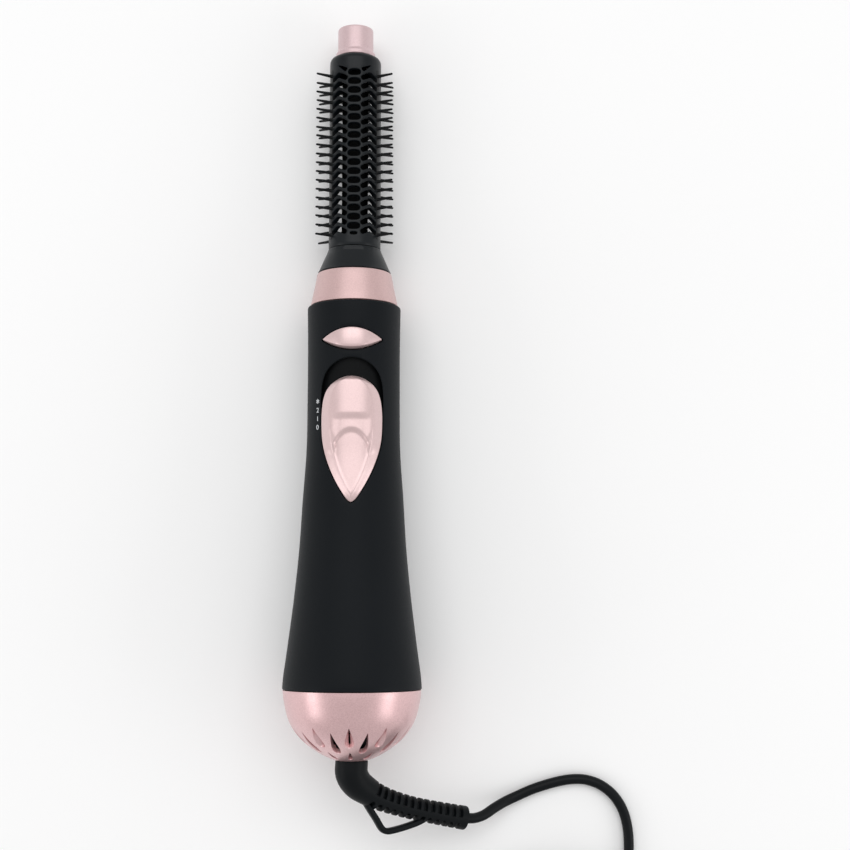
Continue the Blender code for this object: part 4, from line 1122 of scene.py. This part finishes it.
contour = ([(a * ARC, B_LO) for a in az_b] + [(90.0 * ARC, s) for s in s_b[1:-1]]
           + [(a * ARC, B_HI) for a in reversed(az_b)] + [(0.0, s) for s in reversed(half_edges(B_LO, B_HI))])
grid = [(a * ARC, s) for a in az_b[1:-1] for s in s_b[1:-1]]
layers = [(0.17, 0.0), (0.08, 0.035), (0.02, 0.11), (0.0, 0.24), (0.0, BARREL_R - BARREL_RI)]
quarters = []
for side in (1.0, -1.0):
    for back in (False, True):
        def point(u, v, depth, side=side, back=back):
            az = u / ARC
            az = side * (180.0 - az) if back else side * az
            return at(BARREL_R - depth, az, v)
        quarters.append(point)
flat = loft_surface(contour, slots, lambda u, v, d: Vector((u, v, d)), layers, grid)
flat_me = bpy.data.meshes.new("flat")
flat.to_mesh(flat_me)
flat.free()
bm = bmesh.new()
for point in quarters:
    me = flat_me.copy()
    for v in me.vertices:
        v.co = point(v.co.x, v.co.y, v.co.z)
    bm.from_mesh(me)
    bpy.data.meshes.remove(me)
top_prof = [(BARREL_R, B_HI), (BARREL_R, 146.2), (10.22, 146.9), (10.0, 147.5), (9.6, 148.05), (9.05, 148.4), (8.4, 148.6),
            (7.6, 148.7), (5.35, 148.7), (5.35, 146.9), (BARREL_RI, 146.9), (BARREL_RI, B_HI)]
dn_prof = [(BARREL_R, B_LO), (BARREL_R, 70.25), (10.15, 70.0), (8.9, 70.0), (8.9, 64.3), (7.9, 64.3), (7.9, 70.0),
           (BARREL_RI, B_LO)]
for prof in (top_prof, dn_prof):
    cols = [[bm.verts.new(at(r, 2.5 * i, s)) for r, s in prof] for i in range(144)]
    for i in range(144):
        a, b = cols[i], cols[(i + 1) % 144]
        for j in range(len(prof) - 1):
            bm.faces.new((a[j], a[j + 1], b[j + 1], b[j]))
place("barrel_lattice", bm, M_SATIN, "brush", ["brush_barrel"], merge=2e-6, sharp=50.0)

core_prof = [(0.0, 67.0), (1.4, 68.2), (2.6, 70.0), (4.2, 73.4), (5.2, 77.0), (5.2, 144.2), (4.3, 144.2), (4.3, 77.4),
             (3.4, 74.0), (2.0, 71.2), (0.0, 69.0)]
place("barrel_core_cone", revolve(core_prof, 64), M_DARK, "brush", ["barrel_core"])

cap_prof = [(0.0, 161.0)] + rounded([(0.0, 161.0), (7.1, 161.0, 0.9), (7.12, 151.6, 0.5), (7.9, 150.55, 0.45), (7.9, 149.0, 0.3),
                                     (5.0, 149.0, 0.2), (5.0, 144.5, 0.2), (3.8, 144.5, 0.2), (3.8, 159.4, 0.2), (0.0, 159.4)],
                                    0.3, closed=False)[1:]
place("tip_cap_rose", revolve(cap_prof, 128), M_CAP_PAINTED_SHADE, "brush", ["tip_cap"], sharp=40.0)

# ----------------------------------------------------------------- bristles
for number, az in ((1, 62.0), (2, 118.0), (3, 242.0), (4, 298.0)):
    bm = bmesh.new()
    spin = Matrix.Rotation(math.radians(az), 4, "Y")
    rail = [(-0.75, 8.95), (0.75, 8.95), (0.75, 10.3), (0.6, 10.44), (-0.6, 10.44), (-0.75, 10.3)]
    ends = []
    for s in (73.13, 142.2):
        ends.append([bm.verts.new(spin @ (Vector((x, s, q)) * MM)) for x, q in rail])
    ring_faces(bm, ends)
    for k in range(19):
        s = 139.9 - 3.61 * k
        lean_x, lean_s = rng.gauss(0.0, 0.010), rng.gauss(0.0, 0.012)
        rings = []
        for h, r in ((9.9, 0.86), (10.36, 0.82), (10.6, 0.72), (11.1, 0.655), (12.2, 0.60), (13.8, 0.53), (15.4, 0.465),
                     (16.6, 0.42), (16.95, 0.36), (17.1, 0.24), (17.16, 0.1)):
            d = h - 10.3
            rings.append([bm.verts.new(spin @ (Vector((lean_x * d + r * math.cos(2 * math.pi * q / 16),
                                                       s + lean_s * d + r * math.sin(2 * math.pi * q / 16), h)) * MM))
                          for q in range(16)])
        ring_faces(bm, rings)
    place("bristles_%d" % number, bm, M_BRISTLE, "brush", ["bristle_strip_%d" % number], merge=0)

# -------------------------------------------------------------- inlet dome
DOME = [(26.6, -102.4), (26.45, -104.6), (26.0, -107.4), (25.0, -111.6), (23.6, -115.2), (21.6, -118.4), (18.9, -121.4),
        (15.6, -124.1), (12.2, -126.25), (9.2, -127.75), (6.6, -128.85)]
dome_curve = smooth_path([(r, s, 0.0) for r, s in DOME], 0.25)
dome_run = [0.0]
for a, b in zip(dome_curve, dome_curve[1:]):
    dome_run.append(dome_run[-1] + (b - a).length)
DOME_U = dome_run[-1]


def dome_at(u):
    """Radius, station and outward normal at arc length u down the dome."""
    u = max(0.0, min(DOME_U, u))
    i = min(len(dome_curve) - 2, max(0, int(u / DOME_U * (len(dome_curve) - 1))))
    t = (u - dome_run[i]) / (dome_run[i + 1] - dome_run[i])
    p = dome_curve[i].lerp(dome_curve[i + 1], t)
    d = (dome_curve[i + 1] - dome_curve[i]).normalized()
    return p.x, p.y, -d.y, d.x


def u_of_station(s):
    for i, p in enumerate(dome_curve):
        if p.y <= s:
            return dome_run[i]
    return DOME_U


DEG = 0.33                                 # layout millimetres per degree


def dome_point(u, v, depth):
    r, s, nr, ns = dome_at(v)
    return at(r - nr * depth, u / DEG, s - ns * depth)


def drop(az, s_top, s_low, half, count=22):
    """Teardrop, pointed towards the grip, round towards the cord."""
    u0, u1 = u_of_station(s_top), u_of_station(s_low)
    side = []
    for i in range(count + 1):
        f = i / count
        f = 1 - (1 - f) ** 1.5 if i else 0.0
        k = f ** 0.95 * math.sqrt(max(0.0, 1 - f ** 3.4)) * 1.22
        u = u0 + (u1 - u0) * f
        r = dome_at(u)[0]
        w = math.degrees(half * k / r) * DEG
        side.append((w, u))
    return side


def whole(side, az):
    c = az * DEG
    return [(c + w, u) for w, u in side] + [(c - w, u) for w, u in reversed(side[1:-1])]


def half_drop(side, az, sign):
    c = az * DEG
    return [(c - sign * w, u) for w, u in side]


D_WALL = 1.9
ring1 = drop(0.0, -115.4, -123.0, 2.35)
ring2 = drop(0.0, -117.0, -125.3, 2.0)
ring3 = drop(0.0, -124.9, -128.0, 1.1)
A = 18.0
scoop1 = [([(p[0] * k, p[1]) for p in whole(ring1, 0.0)], depth)
          for k, depth in ((1.0, 0.10), (0.86, 0.42), (0.62, 0.85), (0.36, 1.30), (0.20, 1.62), (0.18, D_WALL))]
holes = [(whole(ring1, 0.0), False, scoop1), (whole(ring3, 0.0), False), (half_drop(ring2, A, 1.0), True),
         (half_drop(ring2, -A, -1.0), True)]
az_d = [-A + 2 * A * i / 24 for i in range(25)]
u_d = [DOME_U * i / 56 for i in range(57)]
gap = [u for u in u_d[1:-1] if not (ring2[0][1] - 0.5 < u < ring2[-1][1] + 0.5)]
contour = ([(a * DEG, 0.0) for a in az_d] + [(A * DEG, u) for u in gap] + [(a * DEG, DOME_U) for a in reversed(az_d)]
           + [(-A * DEG, u) for u in reversed(gap)])
grid = [(a * DEG, u) for a in az_d[1:-1] for u in u_d[1:-1]]
layers = [(0.05, 0.0), (0.02, 0.06), (0.0, 0.2), (-0.1, D_WALL)]
flat = loft_surface(contour, holes, lambda u, v, d: Vector((u, v, d)), layers, grid)
flat_me = bpy.data.meshes.new("flat_dome")
flat.to_mesh(flat_me)
flat.free()
bm = bmesh.new()
for i in range(10):
    me = flat_me.copy()
    for v in me.vertices:
        v.co = dome_point(v.co.x + 36.0 * i * DEG, v.co.y, v.co.z)
    bm.from_mesh(me)
    bpy.data.meshes.remove(me)
seg = 240
r0, s0, nr0, ns0 = dome_at(0.0)
r1, s1, nr1, ns1 = dome_at(DOME_U)
for prof in ([(r0, s0), (r0 - nr0 * D_WALL, s0 - ns0 * D_WALL)],
             [(r1, s1), (r1 - nr1 * D_WALL, s1 - ns1 * D_WALL)]):
    cols = [[bm.verts.new(at(r, 1.5 * i, s)) for r, s in prof] for i in range(seg)]
    for i in range(seg):
        a, b = cols[i], cols[(i + 1) % seg]
        bm.faces.new((a[0], a[1], b[1], b[0]))
place("dome_rose", bm, M_ROSE, "root", ["inlet_dome"], merge=2e-6, sharp=50.0)
# spigot that centres the dome in the grip
place("dome_spigot", revolve([(22.8, -98.5), (24.3, -98.5), (24.3, -102.4), (24.5, -103.6), (22.8, -103.6)], 120), M_INNER,
      "root", sharp=40.0)
# neck bush in its seat
bush = rounded([(2.4, -128.5, 0.1), (6.2, -128.5, 0.3), (6.2, -120.7, 0.0), (9.2, -120.7, 0.3), (9.2, -118.7, 0.3), (2.4, -118.7, 0.1)], 0.2)
place("swivel_bush_round", revolve(bush, 72), M_RUBBER, "swivel", ["swivel_bush"])

# --------------------------------------------------- carried-over CAD pieces
looks = {
    "cord_clamp": M_INNER, "motor_can": M_STEEL, "motor_end_cap": M_INNER, "motor_mount": M_INNER,
    "motor_shaft": M_STEEL, "fan_impeller": M_INNER, "heater_tube": M_MICA, "heater_core": M_MICA,
    "heater_coil": M_STEEL, "thermostat": M_STEEL, "thermal_fuse": M_NYLON, "outlet_nozzle": M_SATIN,
    "outlet_grille": M_SATIN, "circuit_board": M_BOARD, "switch_body": M_INNER, "lead_live": M_INNER,
    "lead_neutral": M_NYLON, "slider_carriage": M_NYLON, "release_pin": M_STEEL,
    "inlet_filter": M_INNER,
}
for name, mat in looks.items():
    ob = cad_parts[name]
    if not ob.material_slots:
        ob.data.materials.append(mat)
    for ms in ob.material_slots:
        ms.material = mat

# ------------------------------------------------------------ floor and light
bm = bmesh.new()
bmesh.ops.create_grid(bm, x_segments=1, y_segments=1, size=3.0)
me = bpy.data.meshes.new("studio_floor")
bm.to_mesh(me)
bm.free()
floor_mat = Nodes("studio_floor")
floor_mat.base(floor_mat.ramp(floor_mat.noise(3.0), [(0.3, (0.955, 0.955, 0.955)), (0.7, (0.97, 0.97, 0.97))]))
floor_mat.set(Roughness=0.9)
me.materials.append(floor_mat.mat)
floor = bpy.data.objects.new("studio_floor", me)
scene.collection.objects.link(floor)

world = bpy.data.worlds.new("studio")
scene.world = world
world.use_nodes = True
bg = world.node_tree.nodes["Background"]
bg.inputs["Color"].default_value = (1.0, 1.0, 1.0, 1.0)
bg.inputs["Strength"].default_value = 0.64


def softbox(name, loc, aim, size, power, color=(1, 1, 1)):
    data = bpy.data.lights.new(name, "AREA")
    data.shape = "RECTANGLE"
    data.size, data.size_y = size
    data.energy = power
    data.color = color
    ob = bpy.data.objects.new(name, data)
    ob.location = loc
    d = Vector(aim) - Vector(loc)
    ob.rotation_euler = d.to_track_quat("-Z", "Y").to_euler()
    scene.collection.objects.link(ob)
    return ob


softbox("softbox_left", (-0.72, -0.26, 0.36), (0, -0.12, 0.02), (0.55, 0.28), 0.95)
softbox("softbox_right", (0.72, -0.26, 0.36), (0, -0.12, 0.02), (0.55, 0.28), 0.95)
softbox("softbox_top", (0.0, 0.62, 1.25), (0, 0.05, 0.0), (1.7, 1.0), 7.5)

scene.view_settings.view_transform = "Standard"
scene.view_settings.look = "None"
scene.view_settings.exposure = 0.0

bpy.context.view_layer.update()
